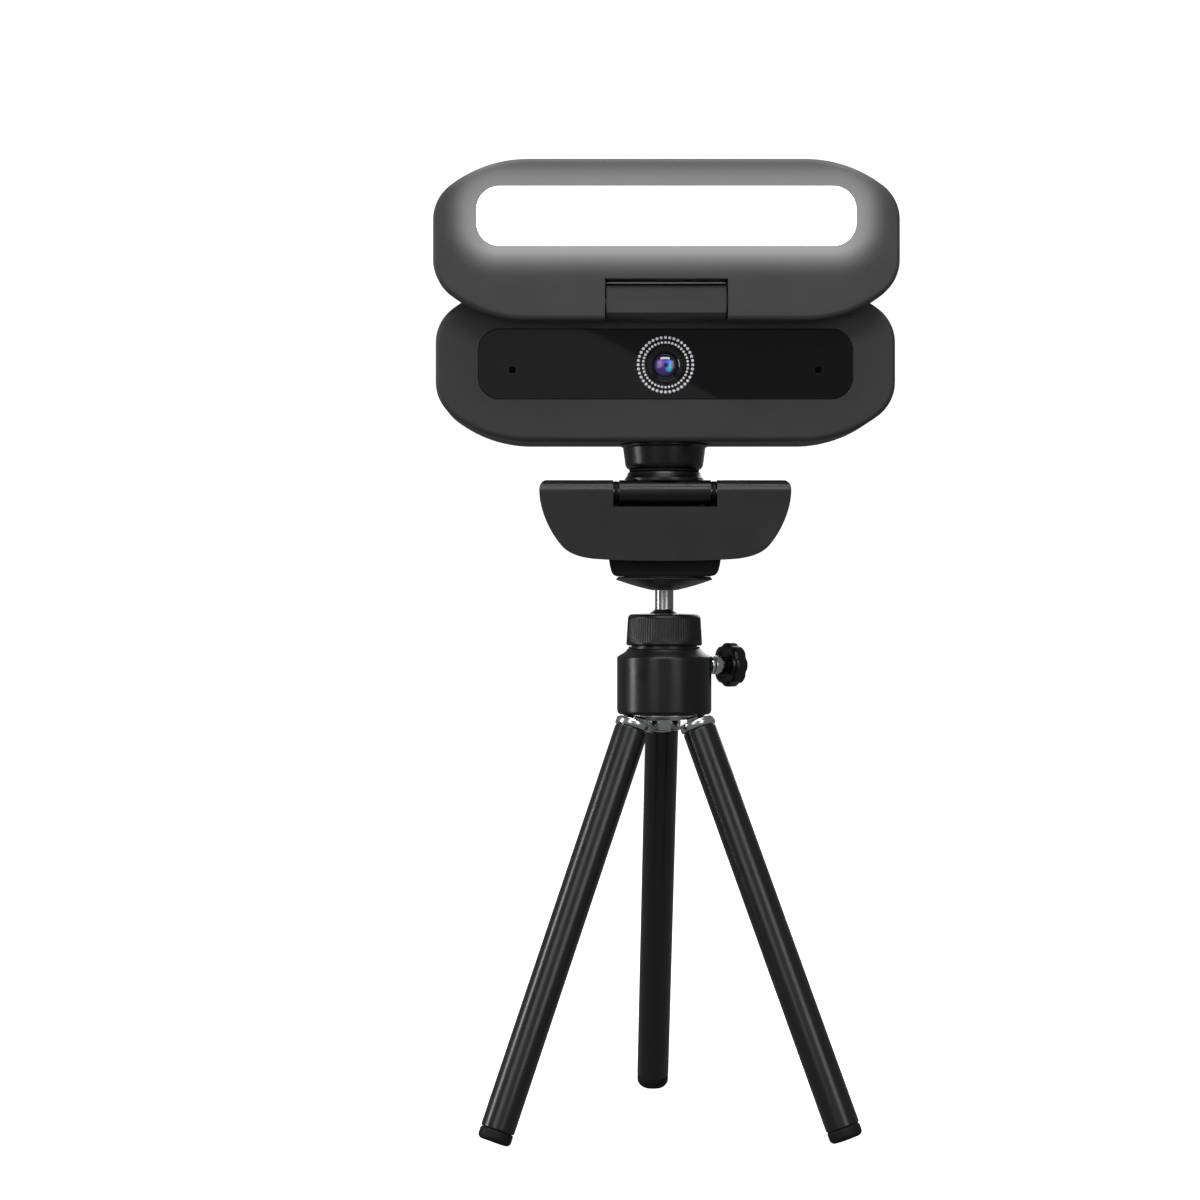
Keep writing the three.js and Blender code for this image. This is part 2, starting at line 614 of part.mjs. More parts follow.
// Hinge block: a D-shaped barrel in the lid's notch with a thin fin over it and a tongue at its back.
function hingeBlock() {
  const half = NOTCH_HALF_WIDTH - GAP;
  const back = BODY_FRONT_Y - HINGE_Y - FIT;
  const lowAngle = Math.PI + Math.acos(HINGE_FACE_OFFSET / HINGE_BLOCK_RADIUS);
  const profile = new THREE.Shape();
  profile.moveTo(HINGE_Y + back, HINGE_Z + HINGE_BLOCK_RADIUS);
  profile.lineTo(HINGE_Y - HINGE_FIN_REACH, HINGE_Z + HINGE_BLOCK_RADIUS - 0.2);
  profile.lineTo(HINGE_Y - HINGE_FIN_REACH, HINGE_Z + HINGE_BLOCK_RADIUS - 0.2 - HINGE_FIN_THICKNESS);
  profile.lineTo(HINGE_Y + back - 1.2, HINGE_Z + HINGE_BLOCK_RADIUS - 0.2 - HINGE_FIN_THICKNESS);
  profile.lineTo(HINGE_Y + back - 1.2, HINGE_Z + HINGE_BLOCK_TOP);
  profile.lineTo(HINGE_Y - HINGE_FACE_OFFSET + 0.6, HINGE_Z + HINGE_BLOCK_TOP);
  profile.lineTo(HINGE_Y - HINGE_FACE_OFFSET, HINGE_Z + HINGE_FACE_TOP);
  profile.absarc(HINGE_Y, HINGE_Z, HINGE_BLOCK_RADIUS, lowAngle, 1.5 * Math.PI, false);
  profile.lineTo(HINGE_Y + back, HINGE_Z - HINGE_BLOCK_RADIUS);
  profile.closePath();
  const tongue = box(
    -TONGUE_HALF_WIDTH, TONGUE_HALF_WIDTH, BODY_FRONT_Y - 0.5, BODY_FRONT_Y + TONGUE_LENGTH,
    HINGE_Z - TONGUE_HALF_HEIGHT, HINGE_Z + TONGUE_HALF_HEIGHT,
  );
  return cut(
    join(beam(profile, -half, half), tongue),
    barX(LID_PIN_RADIUS + FIT, -half - 1, half + 1, HINGE_Y, HINGE_Z),
  );
}

piece('camera_front_shell', cameraFrontShell(), BODY_PLASTIC);
piece('camera_rear_shell', cameraRearShell(), BODY_PLASTIC);
piece('face_panel', facePanel(), GLOSS_BLACK);
piece('lens_ring', lensRing(), GLOSS_BLACK);
piece('lens_glass', barY(LENS_GLASS_RADIUS, GLASS_FRONT_Y, GLASS_FRONT_Y + GLASS_THICKNESS, 0, LENS_Z),
  LENS_COATING);
piece('lens_barrel', lensBarrel(), BLACK_PLASTIC);
piece('lens_holder', lensHolder(), BLACK_PLASTIC);
piece('image_sensor', imageSensor(), GLOSS_BLACK);
piece('main_board', mainBoard(), BOARD_GREEN);
[['left', -1], ['right', 1]].forEach(([side, sign]) => {
  const front = CAVITY_FRONT_Y + FIT;
  const capsule = barY(MIC_RADIUS, front, front + MIC_LENGTH, sign * MIC_OFFSET_X, MIC_Z);
  piece(`microphone_${side}`, capsule, STEEL);
  piece(`board_screw_${side}`, boardScrew(sign * BOARD_SCREW_X), STEEL);
});
piece('usb_board', box(
  -USB_BOARD_HALF_WIDTH, USB_BOARD_HALF_WIDTH, USB_BOARD_FRONT_Y,
  USB_BOARD_FRONT_Y + USB_BOARD_THICKNESS, BODY_CENTRE_Z - USB_BOARD_HALF_HEIGHT,
  BODY_CENTRE_Z + USB_BOARD_HALF_HEIGHT,
), BOARD_GREEN);
piece('usb_socket', usbSocket(), STEEL);
piece('hinge_block', hingeBlock(), BODY_PLASTIC);
piece('neck_cup', neckCup(), BLACK_PLASTIC);
piece('neck_nut', neckNut(), STEEL);
piece('swivel_screw', swivelScrew(), STEEL);

// ---------------------------------------------------------------- light lid

const LID_SPLIT_FRONT = HINGE_Y - GAP / 2;
const LID_SPLIT_REAR = HINGE_Y + GAP / 2;
const NOTCH_TOP_Z = HINGE_Z + HINGE_BLOCK_RADIUS + GAP;
const DIFFUSER_HALF_WIDTH = WINDOW_HALF_WIDTH + DIFFUSER_LAP;
const DIFFUSER_HALF_HEIGHT = WINDOW_HALF_HEIGHT + DIFFUSER_LAP;
const DIFFUSER_FRONT_Y = LID_FRONT_Y + WINDOW_DEPTH + FIT;
const LIGHT_CAVITY_REAR_Y = LID_REAR_Y - BODY_WALL;

function lidHalf(fillet, yFrom, yTo) {
  const whole = slab(bodyOutline(LID_CENTRE_Z), LID_FRONT_Y, LID_REAR_Y, fillet);
  const length = BODY_HALF_WIDTH + 1;
  const height = BODY_HALF_HEIGHT + 1;
  const half = whole.intersect(
    box(-length, length, yFrom, yTo, LID_CENTRE_Z - height, LID_CENTRE_Z + height),
  );
  const notch = box(-NOTCH_HALF_WIDTH, NOTCH_HALF_WIDTH, LID_FRONT_Y - 1, LID_REAR_Y + 1,
    LID_LOW_Z - 1, NOTCH_TOP_Z);
  const pinBore = barX(LID_PIN_RADIUS + FIT, -LID_PIN_HALF_LENGTH - FIT, LID_PIN_HALF_LENGTH + FIT,
    HINGE_Y, HINGE_Z);
  const cavity = slab(
    roundedRectangle(DIFFUSER_HALF_WIDTH + GAP, DIFFUSER_HALF_HEIGHT + GAP,
      WINDOW_RADIUS + DIFFUSER_LAP + GAP, 0, WINDOW_CENTRE_Z),
    LID_FRONT_Y + WINDOW_DEPTH, LIGHT_CAVITY_REAR_Y,
  );
  return cut(half, notch, pinBore, cavity);
}

function lidFrontFrame() {
  const opening = new THREE.ExtrudeGeometry(
    roundedRectangle(WINDOW_HALF_WIDTH, WINDOW_HALF_HEIGHT, WINDOW_RADIUS, 0, WINDOW_CENTRE_Z),
    {
      depth: WINDOW_DEPTH,
      bevelEnabled: true,
      bevelThickness: WINDOW_DEPTH,
      bevelSize: WINDOW_BEVEL,
      bevelSegments: 1,
      curveSegments: 4,
    },
  );
  // The bevelled end narrows towards the diffuser; a straight slot opens what is left behind it.
  const funnel = solid(
    opening.rotateX(Math.PI / 2).translate(0, LID_FRONT_Y, 0),
  );
  const slot = slab(
    roundedRectangle(WINDOW_HALF_WIDTH, WINDOW_HALF_HEIGHT, WINDOW_RADIUS, 0, WINDOW_CENTRE_Z),
    LID_FRONT_Y - 1, DIFFUSER_FRONT_Y + 1,
  );
  return cut(lidHalf(LID_FRONT_FILLET, LID_FRONT_Y - 1, LID_SPLIT_FRONT), funnel, slot);
}

function ledBoard() {
  const front = LID_SPLIT_REAR + FIT;
  const plate = slab(
    roundedRectangle(DIFFUSER_HALF_WIDTH - 1, DIFFUSER_HALF_HEIGHT - 1, WINDOW_RADIUS, 0,
      WINDOW_CENTRE_Z),
    front, front + LED_BOARD_THICKNESS, 0, 4,
  );
  const packages = Array.from({ length: LED_COUNT }, (_, i) => {
    const x = (i - (LED_COUNT - 1) / 2) * LED_PITCH;
    return box(x - LED_SIZE / 2, x + LED_SIZE / 2, front - LED_HEIGHT, front + 0.2,
      WINDOW_CENTRE_Z - LED_SIZE / 2, WINDOW_CENTRE_Z + LED_SIZE / 2);
  });
  return join(plate, ...packages);
}

piece('lid_front_frame', lidFrontFrame(), BODY_PLASTIC);
piece('lid_rear_shell', lidHalf(LID_REAR_FILLET, LID_SPLIT_REAR, LID_REAR_Y + 1), BODY_PLASTIC);
piece('light_diffuser', slab(
  roundedRectangle(DIFFUSER_HALF_WIDTH, DIFFUSER_HALF_HEIGHT, WINDOW_RADIUS + DIFFUSER_LAP, 0,
    WINDOW_CENTRE_Z),
  DIFFUSER_FRONT_Y, DIFFUSER_FRONT_Y + DIFFUSER_THICKNESS,
), WHITE_DIFFUSER);
piece('led_board', ledBoard(), BOARD_GREEN);
piece('lid_hinge_pin', barX(LID_PIN_RADIUS, -LID_PIN_HALF_LENGTH, LID_PIN_HALF_LENGTH, HINGE_Y,
  HINGE_Z), STEEL);

// ---------------------------------------------------------------- tilt base

function tiltBase() {
  const collar = turned([
    [0, COLLAR_TOP_Z],
    [COLLAR_TOP_RADIUS, COLLAR_TOP_Z],
    [COLLAR_LOW_RADIUS, COLLAR_LOW_Z],
    [COLLAR_LOW_RADIUS, COLLAR_LOW_Z - 0.6],
    [0, COLLAR_LOW_Z - 0.6],
  ]);
  const arm = box(-ARM_HALF_WIDTH, ARM_HALF_WIDTH, CLIP_Y, ARM_REAR_Y, CLIP_Z + 1, COLLAR_LOW_Z);
  const barrel = barX(ROLL_RADIUS, -BARREL_HALF_WIDTH, BARREL_HALF_WIDTH, CLIP_Y, CLIP_Z);
  return cut(
    join(collar, arm, barrel),
    barX(CLIP_PIN_RADIUS + FIT, -BARREL_HALF_WIDTH - 1, BARREL_HALF_WIDTH + 1, CLIP_Y, CLIP_Z),
    barZ(SWIVEL_SCREW_RADIUS + FIT, CLIP_Z, COLLAR_TOP_Z + 1),
    barZ(SWIVEL_HEAD_RADIUS + FIT, CLIP_Z - 2, SWIVEL_SEAT_Z),
  );
}

piece('tilt_base', tiltBase(), BLACK_PLASTIC);
piece('neck_washer', cut(
  barZ(WASHER_RADIUS, WASHER_TOP_Z - WASHER_THICKNESS, WASHER_TOP_Z),
  barZ(SWIVEL_SCREW_RADIUS + FIT, WASHER_TOP_Z - 2, WASHER_TOP_Z + 2),
), NYLON);

// ---------------------------------------------------------------- clip

const PLATE_FRONT_Y = CLIP_Y - ROLL_RADIUS;
const PLATE_REAR_Y = PLATE_FRONT_Y + PLATE_THICKNESS;
const PLATE_TOP_Z = CLIP_Z + ROLL_RADIUS;
const LEG_FRONT_Y = CLIP_Y + GAP;
const LEG_REAR_Y = LEG_FRONT_Y + LEG_PLATE_THICKNESS;
const LEG_TOP_Z = CLIP_Z - ROLL_RADIUS - 2 * GAP;
const SADDLE_TOP_Z = CLIP_Z - SADDLE_DROP;
const CHEEK_TOP_Z = CLIP_Z + ROLL_RADIUS - 0.2;
const PAD_Z = CLIP_Z - PAD_DROP;

// Wing outline: rounded shoulders, sides that curve in, a shallow crowned bottom edge.
function plateOutline() {
  const w = PLATE_HALF_WIDTH;
  const top = PLATE_TOP_Z;
  const low = CLIP_Z - PLATE_DROP;
  const shape = new THREE.Shape();
  shape.moveTo(0, top);
  shape.lineTo(w - 2, top);
  shape.bezierCurveTo(w - 0.9, top, w - 0.2, top - 0.8, w, top - 2);
  shape.bezierCurveTo(w + 0.2, top - 6.5, w - 2, low + 7.8, w - 5.4, low + 3.8);
  shape.bezierCurveTo(w - 7.1, low + 1.8, w - 10, low + 0.85, w - 13.5, low + 0.5);
  shape.bezierCurveTo(w - 19, low + 0.1, 6, low, 0, low);
  shape.bezierCurveTo(-6, low, 19 - w, low + 0.1, 13.5 - w, low + 0.5);
  shape.bezierCurveTo(10 - w, low + 0.85, 7.1 - w, low + 1.8, 5.4 - w, low + 3.8);
  shape.bezierCurveTo(2 - w, low + 7.8, -w - 0.2, top - 6.5, -w, top - 2);
  shape.bezierCurveTo(0.2 - w, top - 0.8, 0.9 - w, top, 2 - w, top);
  shape.closePath();
  return shape;
}

function clipFrontPlate() {
  const section = new THREE.Shape();
  section.moveTo(PLATE_FRONT_Y, CLIP_Z - PLATE_DROP - 1);
  section.lineTo(PLATE_REAR_Y, CLIP_Z - PLATE_DROP - 1);
  section.lineTo(PLATE_REAR_Y, CLIP_Z - ROLL_RADIUS);
  section.absarc(CLIP_Y, CLIP_Z, ROLL_RADIUS, 1.5 * Math.PI, 3 * Math.PI, false);
  section.closePath();
  const pad = slab(
    roundedRectangle(PAD_HALF_WIDTH + FIT, PAD_HALF_HEIGHT + FIT, PAD_CORNER_RADIUS, 0, PAD_Z),
    PLATE_REAR_Y - PAD_DEPTH, PLATE_REAR_Y + 1,
  );
  const whole = slab(plateOutline(), PLATE_FRONT_Y, CLIP_Y + ROLL_RADIUS, 0, 5).intersect(
    beam(section, -PLATE_HALF_WIDTH - 1, PLATE_HALF_WIDTH + 1),
  );
  return cut(
    whole, pad,
    box(-CLIP_NOTCH_HALF_WIDTH, CLIP_NOTCH_HALF_WIDTH, PLATE_FRONT_Y - 1, CLIP_Y + ROLL_RADIUS + 1,
      CLIP_Z - CLIP_NOTCH_DEPTH, PLATE_TOP_Z + 1),
    barX(CLIP_PIN_RADIUS + FIT, -CLIP_PIN_HALF_LENGTH - FIT, CLIP_PIN_HALF_LENGTH + FIT, CLIP_Y,
      CLIP_Z),
  );
}

function clipPad(yFront, yBack) {
  return slab(
    roundedRectangle(PAD_HALF_WIDTH, PAD_HALF_HEIGHT, PAD_CORNER_RADIUS, 0, PAD_Z), yFront, yBack, 0, 4,
  );
}

const FOOT_LOW_Z = DISC_TOP_Z + RUBBER_THICKNESS + FIT;
const INSERT_LOW_Z = FOOT_LOW_Z + GAP;

// Post with a saddle and two cheeks behind the barrel, foot with a threaded boss over the tripod's
// axis, two ribs and two knuckles round the pin.
function clipRearLeg() {
  const post = box(-LEG_HALF_WIDTH, LEG_HALF_WIDTH, LEG_FRONT_Y, LEG_REAR_Y, FOOT_TOP_Z - 1, LEG_TOP_Z);
  const foot = new THREE.Shape();
  foot.moveTo(-LEG_HALF_WIDTH, FOOT_TOP_Z);
  foot.lineTo(-LEG_HALF_WIDTH + 0.7, FOOT_LOW_Z + 1.4);
  foot.quadraticCurveTo(-LEG_HALF_WIDTH + 1, FOOT_LOW_Z + 0.4, -FOOT_LOW_HALF_WIDTH, FOOT_LOW_Z);
  foot.lineTo(FOOT_LOW_HALF_WIDTH, FOOT_LOW_Z);
  foot.quadraticCurveTo(LEG_HALF_WIDTH - 1, FOOT_LOW_Z + 0.4, LEG_HALF_WIDTH - 0.7, FOOT_LOW_Z + 1.4);
  foot.lineTo(LEG_HALF_WIDTH, FOOT_TOP_Z);
  foot.closePath();
  const footprint = join(
    box(-LEG_HALF_WIDTH - 1, LEG_HALF_WIDTH + 1, LEG_FRONT_Y, 0, FOOT_LOW_Z - 1, FOOT_TOP_Z + 1),
    barZ(LEG_HALF_WIDTH + 0.2, FOOT_LOW_Z - 1, FOOT_TOP_Z + 1),
  );
  const frontCut = box(-30, 30, -30, LEG_FRONT_Y, FOOT_LOW_Z - 2, FOOT_TOP_Z + 2);
  const sole = cut(slab(foot, LEG_FRONT_Y, LEG_HALF_WIDTH + 1).intersect(footprint), frontCut);
  const ribs = [-1, 1].map((side) => {
    const rib = new THREE.Shape();
    rib.moveTo(LEG_REAR_Y - 1, FOOT_TOP_Z - 1);
    rib.lineTo(LEG_REAR_Y + RIB_REACH, FOOT_TOP_Z - 1);
    rib.lineTo(LEG_REAR_Y - 1, LEG_TOP_Z - 2);
    rib.closePath();
    return beam(rib, side * RIB_X - RIB_HALF_THICKNESS, side * RIB_X + RIB_HALF_THICKNESS);
  });
  const knuckles = [-1, 1].map((side) => {
    const inner = BARREL_HALF_WIDTH + GAP;
    const outer = inner + KNUCKLE_THICKNESS;
    const x0 = side > 0 ? inner : -outer;
    const x1 = side > 0 ? outer : -inner;
    return join(
      barX(ROLL_RADIUS - GAP, x0, x1, CLIP_Y, CLIP_Z),
      box(x0, x1, LEG_FRONT_Y, LEG_FRONT_Y + 2.9, LEG_TOP_Z - 0.5, CLIP_Z),
    );
  });
  const swing = ROLL_RADIUS + GAP;
  const saddle = cut(
    box(-CHEEK_INNER_X, CHEEK_INNER_X, LEG_FRONT_Y, LEG_REAR_Y, LEG_TOP_Z - 1, SADDLE_TOP_Z),
    barX(swing, -LEG_HALF_WIDTH, LEG_HALF_WIDTH, CLIP_Y, CLIP_Z, 32),
  );
  const cheeks = [-1, 1].map((side) => {
    const edges = [side * CHEEK_INNER_X, side * LEG_HALF_WIDTH].sort((a, b) => a - b);
    return box(edges[0], edges[1], CLIP_Y + swing, LEG_REAR_Y, LEG_TOP_Z - 1, CHEEK_TOP_Z);
  });
  const boss = barZ(BOSS_RADIUS, FOOT_TOP_Z - 1, BOSS_TOP_Z);
  const pad = slab(
    roundedRectangle(PAD_HALF_WIDTH + FIT, PAD_HALF_HEIGHT + FIT, PAD_CORNER_RADIUS, 0, PAD_Z),
    LEG_FRONT_Y - 1, LEG_FRONT_Y + PAD_DEPTH,
  );
  return cut(
    join(post, saddle, ...cheeks, sole, ...ribs, ...knuckles, boss), frontCut, pad,
    barZ(INSERT_RADIUS + FIT, FOOT_LOW_Z - 1, INSERT_LOW_Z + INSERT_LENGTH + FIT),
    barX(CLIP_PIN_RADIUS + FIT, -CLIP_PIN_HALF_LENGTH, CLIP_PIN_HALF_LENGTH, CLIP_Y, CLIP_Z),
  );
}

piece('clip_front_plate', clipFrontPlate(), CLIP_PLASTIC);
piece('front_pad', clipPad(PLATE_REAR_Y - PAD_DEPTH + FIT, PLATE_REAR_Y - 0.05), RUBBER);
piece('clip_rear_leg', clipRearLeg(), BLACK_PLASTIC);
piece('rear_pad', clipPad(LEG_FRONT_Y + 0.05, LEG_FRONT_Y + PAD_DEPTH - FIT), RUBBER);
piece('clip_pin', barX(CLIP_PIN_RADIUS, -CLIP_PIN_HALF_LENGTH, CLIP_PIN_HALF_LENGTH, CLIP_Y,
  CLIP_Z), STEEL);
piece('thread_insert', cut(
  barZ(INSERT_RADIUS, INSERT_LOW_Z, INSERT_LOW_Z + INSERT_LENGTH),
  barZ(THREAD_RADIUS + FIT, INSERT_LOW_Z - 1, INSERT_LOW_Z + INSERT_LENGTH + 1),
), BRASS);

// ---------------------------------------------------------------- ball head

const STEM_FOOT_ANGLE = Math.acos(STEM_RADIUS / BALL_RADIUS);
const HEAD_BORE_RADIUS = BALL_RADIUS + HEAD_BORE_PLAY;
const HEAD_NECK_RADIUS = HEAD_BORE_RADIUS + HEAD_NECK_WALL;
const GROOVE_RADIUS = HEAD_NECK_RADIUS + GROOVE_WALL;
const SHOULDER_RADIUS = HEAD_NECK_RADIUS + SHOULDER_WALL;
const CAP_TOP_RADIUS = HEAD_NECK_RADIUS + CAP_TOP_WALL;
const CAP_LOW_RADIUS = HEAD_NECK_RADIUS + CAP_LOW_WALL;
const CAP_TOP_Z = BALL_Z + CAP_DOME_HEIGHT;
const CAP_LOW_Z = BALL_Z - CAP_SKIRT_HEIGHT;

piece('ball_stud', turned([
  ...arc(0, BALL_Z, BALL_RADIUS, -Math.PI / 2, STEM_FOOT_ANGLE, 9),
  [STEM_RADIUS, DISC_TOP_Z + FIT],
  [THREAD_RADIUS, DISC_TOP_Z + FIT],
  [THREAD_RADIUS, STUD_TOP_Z - 0.5],
  [THREAD_RADIUS - 0.5, STUD_TOP_Z],
  [0, STUD_TOP_Z],
]), STEEL);
piece('mount_plate', cut(
  turned([
    [0, DISC_LOW_Z],
    [STEM_RADIUS + 0.8, DISC_LOW_Z],
    [DISC_RADIUS - 0.7, DISC_TOP_Z - DISC_RIM_HEIGHT - 0.2],
    [DISC_RADIUS, DISC_TOP_Z - DISC_RIM_HEIGHT],
    [DISC_RADIUS, DISC_TOP_Z],
    [0, DISC_TOP_Z],
  ]),
  barZ(STEM_RADIUS + FIT, DISC_LOW_Z - 1, DISC_TOP_Z + 1),
), STEEL);
piece('plate_pad', cut(
  barZ(DISC_RADIUS - 1.2, DISC_TOP_Z + 0.05, DISC_TOP_Z + RUBBER_THICKNESS),
  barZ(THREAD_RADIUS + FIT, DISC_TOP_Z - 1, DISC_TOP_Z + 2),
), RUBBER);

const SEAT_TOP_Z = BALL_Z - 3.1;
const CUP_RADIUS = BALL_RADIUS + FIT;

piece('ball_seat', cut(
  turned([
    [0, SEAT_LOW_Z],
    [HEAD_BORE_RADIUS - 1.4, SEAT_LOW_Z],
    [HEAD_BORE_RADIUS - FIT, SEAT_LOW_Z + 1.4],
    [HEAD_BORE_RADIUS - FIT, SEAT_TOP_Z],
    [0, SEAT_TOP_Z],
  ]),
  ball(CUP_RADIUS, BALL_Z),
), NYLON);

const CAP_WALL_TOP_Z = CAP_TOP_Z - CAP_ROOF;

function ballCap() {
  const outside = turned([
    [0, CAP_LOW_Z],
    [CAP_LOW_RADIUS - 0.6, CAP_LOW_Z],
    [CAP_LOW_RADIUS, CAP_LOW_Z + 0.6],
    [CAP_TOP_RADIUS, CAP_TOP_Z - 1.2],
    [CAP_TOP_RADIUS - 1.1, CAP_TOP_Z - 0.2],
    [0, CAP_TOP_Z],
  ], 24);
  return cut(
    outside,
    barZ(HEAD_NECK_RADIUS + FIT, CAP_LOW_Z - 1, CAP_WALL_TOP_Z, 24),
    barZ(CAP_OPENING_RADIUS, CAP_WALL_TOP_Z - 1, CAP_TOP_Z + 1),
    ball(BALL_RADIUS + GAP, BALL_Z),
  );
}

// Moves a solid built along +X onto the lock screw's axis.
function onLockAxis(body) {
  return body.rotate([0, 0, THREE.MathUtils.radToDeg(LOCK_AZIMUTH)]);
}

const NECK_BASE_Z = CAP_LOW_Z - GAP;

function headBody() {
  const outside = turned([
    [0, HEAD_LOW_Z],
    [HEAD_RADIUS - 0.3, HEAD_LOW_Z],
    [HEAD_RADIUS, HEAD_LOW_Z + 1],
    [HEAD_RADIUS, HEAD_TOP_Z - 1],
    [HEAD_RADIUS - 0.5, HEAD_TOP_Z],
    [SHOULDER_RADIUS, NECK_BASE_Z - 0.7],
    [GROOVE_RADIUS, NECK_BASE_Z - 0.5],
    [GROOVE_RADIUS, NECK_BASE_Z],
    [HEAD_NECK_RADIUS, NECK_BASE_Z],
    [HEAD_NECK_RADIUS, CAP_WALL_TOP_Z - GAP],
    [0, CAP_WALL_TOP_Z - GAP],
  ], 24);
  // The boss is a short bar whose top is cut back along the shoulder's slope.
  const boss = onLockAxis(barX(LOCK_BOSS_RADIUS, HEAD_BORE_RADIUS + 1, LOCK_BOSS_REACH, 0, LOCK_Z));
  const slope = turned([
    [0, LOCK_Z - LOCK_BOSS_RADIUS - 1],
    [LOCK_BOSS_REACH + 1, LOCK_Z - LOCK_BOSS_RADIUS - 1],
    [LOCK_BOSS_REACH + 1, HEAD_TOP_Z - 0.8],
    [GROOVE_RADIUS + 0.4, NECK_BASE_Z - 0.1],
    [0, NECK_BASE_Z - 0.1],
  ]);
  return cut(
    join(outside, boss.intersect(slope)),
    barZ(HEAD_BORE_RADIUS, SEAT_LOW_Z - GAP, CAP_TOP_Z),
    barZ(SPIDER_SCREW_RADIUS + FIT, HEAD_LOW_Z - 1, SEAT_LOW_Z - 2),
    onLockAxis(barX(LOCK_THREAD_RADIUS + FIT, 0, LOCK_BOSS_REACH + 1, 0, LOCK_Z)),
  );
}

piece('ball_cap', ballCap(), BLACK_PLASTIC);
piece('head_body', headBody(), BLACK_PLASTIC);

const SLEEVE_START = LOCK_BOSS_REACH + LOCK_THREAD_SHOWN;

piece('lock_screw', onLockAxis(join(
  barX(LOCK_THREAD_RADIUS, HEAD_BORE_RADIUS + FIT, SLEEVE_START + 0.5, 0, LOCK_Z),
  barX(LOCK_SLEEVE_RADIUS, SLEEVE_START, KNOB_REACH + KNOB_RECESS - FIT, 0, LOCK_Z),
  barX(LOCK_THREAD_RADIUS, KNOB_REACH, KNOB_REACH + KNOB_THICKNESS - 0.8, 0, LOCK_Z),
)), CHROME);

function lockKnob() {
  const outline = new THREE.Shape();
  const steps = KNOB_LOBES * 6;
  for (let i = 0; i < steps; i += 1) {
    const angle = (2 * Math.PI * i) / steps;
    const radius = KNOB_RADIUS - (KNOB_LOBE_DEPTH * (1 - Math.cos(KNOB_LOBES * angle))) / 2;
    const y = radius * Math.cos(angle);
    const z = LOCK_Z + radius * Math.sin(angle);
    if (i === 0) outline.moveTo(y, z);
    else outline.lineTo(y, z);
  }
  outline.closePath();
  const end = KNOB_REACH + KNOB_THICKNESS;
  return onLockAxis(cut(
    beam(outline, KNOB_REACH, end),
    barX(LOCK_SLEEVE_RADIUS + GAP, KNOB_REACH - 1, KNOB_REACH + KNOB_RECESS, 0, LOCK_Z),
    barX(LOCK_THREAD_RADIUS + FIT, KNOB_REACH - 1, end - 0.6, 0, LOCK_Z),
  ));
}

piece('lock_knob', lockKnob(), BLACK_PLASTIC);

// ---------------------------------------------------------------- spider and legs

const FERRULE_RADIUS = LEG_RADIUS + FERRULE_LIP;
const LEG_PIVOT_RADIUS = FERRULE_RADIUS + LEG_SPACING;
const SPIDER_TOP_RADIUS = LEG_PIVOT_RADIUS + SPIDER_RIM;
const SPIDER_LOW_RADIUS = SPIDER_TOP_RADIUS - SPIDER_BEVEL;
const SPIDER_TOP_Z = HEAD_LOW_Z - FIT;
const SPIDER_LOW_Z = SPIDER_TOP_Z - SPIDER_THICKNESS;
const SCREW_SEAT_Z = HUB_LOW_Z + SPIDER_SCREW_HEAD_HEIGHT + 0.2;
const LUG_GAP = LEG_TONGUE_HALF_THICKNESS + FIT;
const legAzimuths = [0, 1, 2].map((i) => FIRST_LEG_AZIMUTH + (i * 2 * Math.PI) / 3);

function turnedTo(azimuth, body) {
  return body.rotate([0, 0, THREE.MathUtils.radToDeg(azimuth)]);
}

// Disc, hub with a counterbore for its screw, and a slotted pair of lugs for each leg.
function legSpider() {
  const disc = turned([
    [0, HUB_LOW_Z],
    [HUB_RADIUS - 0.6, HUB_LOW_Z],
    [HUB_RADIUS, HUB_LOW_Z + 0.6],
    [HUB_RADIUS, SPIDER_LOW_Z],
    [SPIDER_LOW_RADIUS, SPIDER_LOW_Z],
    [SPIDER_TOP_RADIUS, SPIDER_TOP_Z - 0.3],
    [SPIDER_TOP_RADIUS, SPIDER_TOP_Z],
    [0, SPIDER_TOP_Z],
  ], 24);
  const lugs = [];
  const slots = [];
  legAzimuths.forEach((azimuth) => {
    [-1, 1].forEach((side) => {
      const inner = side > 0 ? LUG_GAP : -LUG_GAP - LUG_THICKNESS;
      const lug = join(
        barY(LUG_RADIUS, inner, inner + LUG_THICKNESS, LEG_PIVOT_RADIUS, LEG_PIVOT_Z),
        box(LEG_PIVOT_RADIUS - LUG_RADIUS, LEG_PIVOT_RADIUS + 1, inner, inner + LUG_THICKNESS,
          LEG_PIVOT_Z, SPIDER_TOP_Z),
      );
      lugs.push(turnedTo(azimuth, lug));
    });
    const slot = box(LEG_PIVOT_RADIUS - LEG_TONGUE_RADIUS - GAP, SPIDER_TOP_RADIUS + 2, -LUG_GAP,
      LUG_GAP, HUB_LOW_Z, SPIDER_TOP_Z + 1);
    const bore = barY(LEG_PIN_RADIUS + FIT, -6, 6, LEG_PIVOT_RADIUS, LEG_PIVOT_Z, 12);
    slots.push(turnedTo(azimuth, slot), turnedTo(azimuth, bore));
  });
  return cut(
    join(disc, ...lugs), ...slots,
    barZ(SPIDER_SCREW_RADIUS + FIT, HUB_LOW_Z - 1, SPIDER_TOP_Z + 1),
    barZ(SPIDER_SCREW_HEAD_RADIUS + 0.2, HUB_LOW_Z - 1, SCREW_SEAT_Z),
  );
}

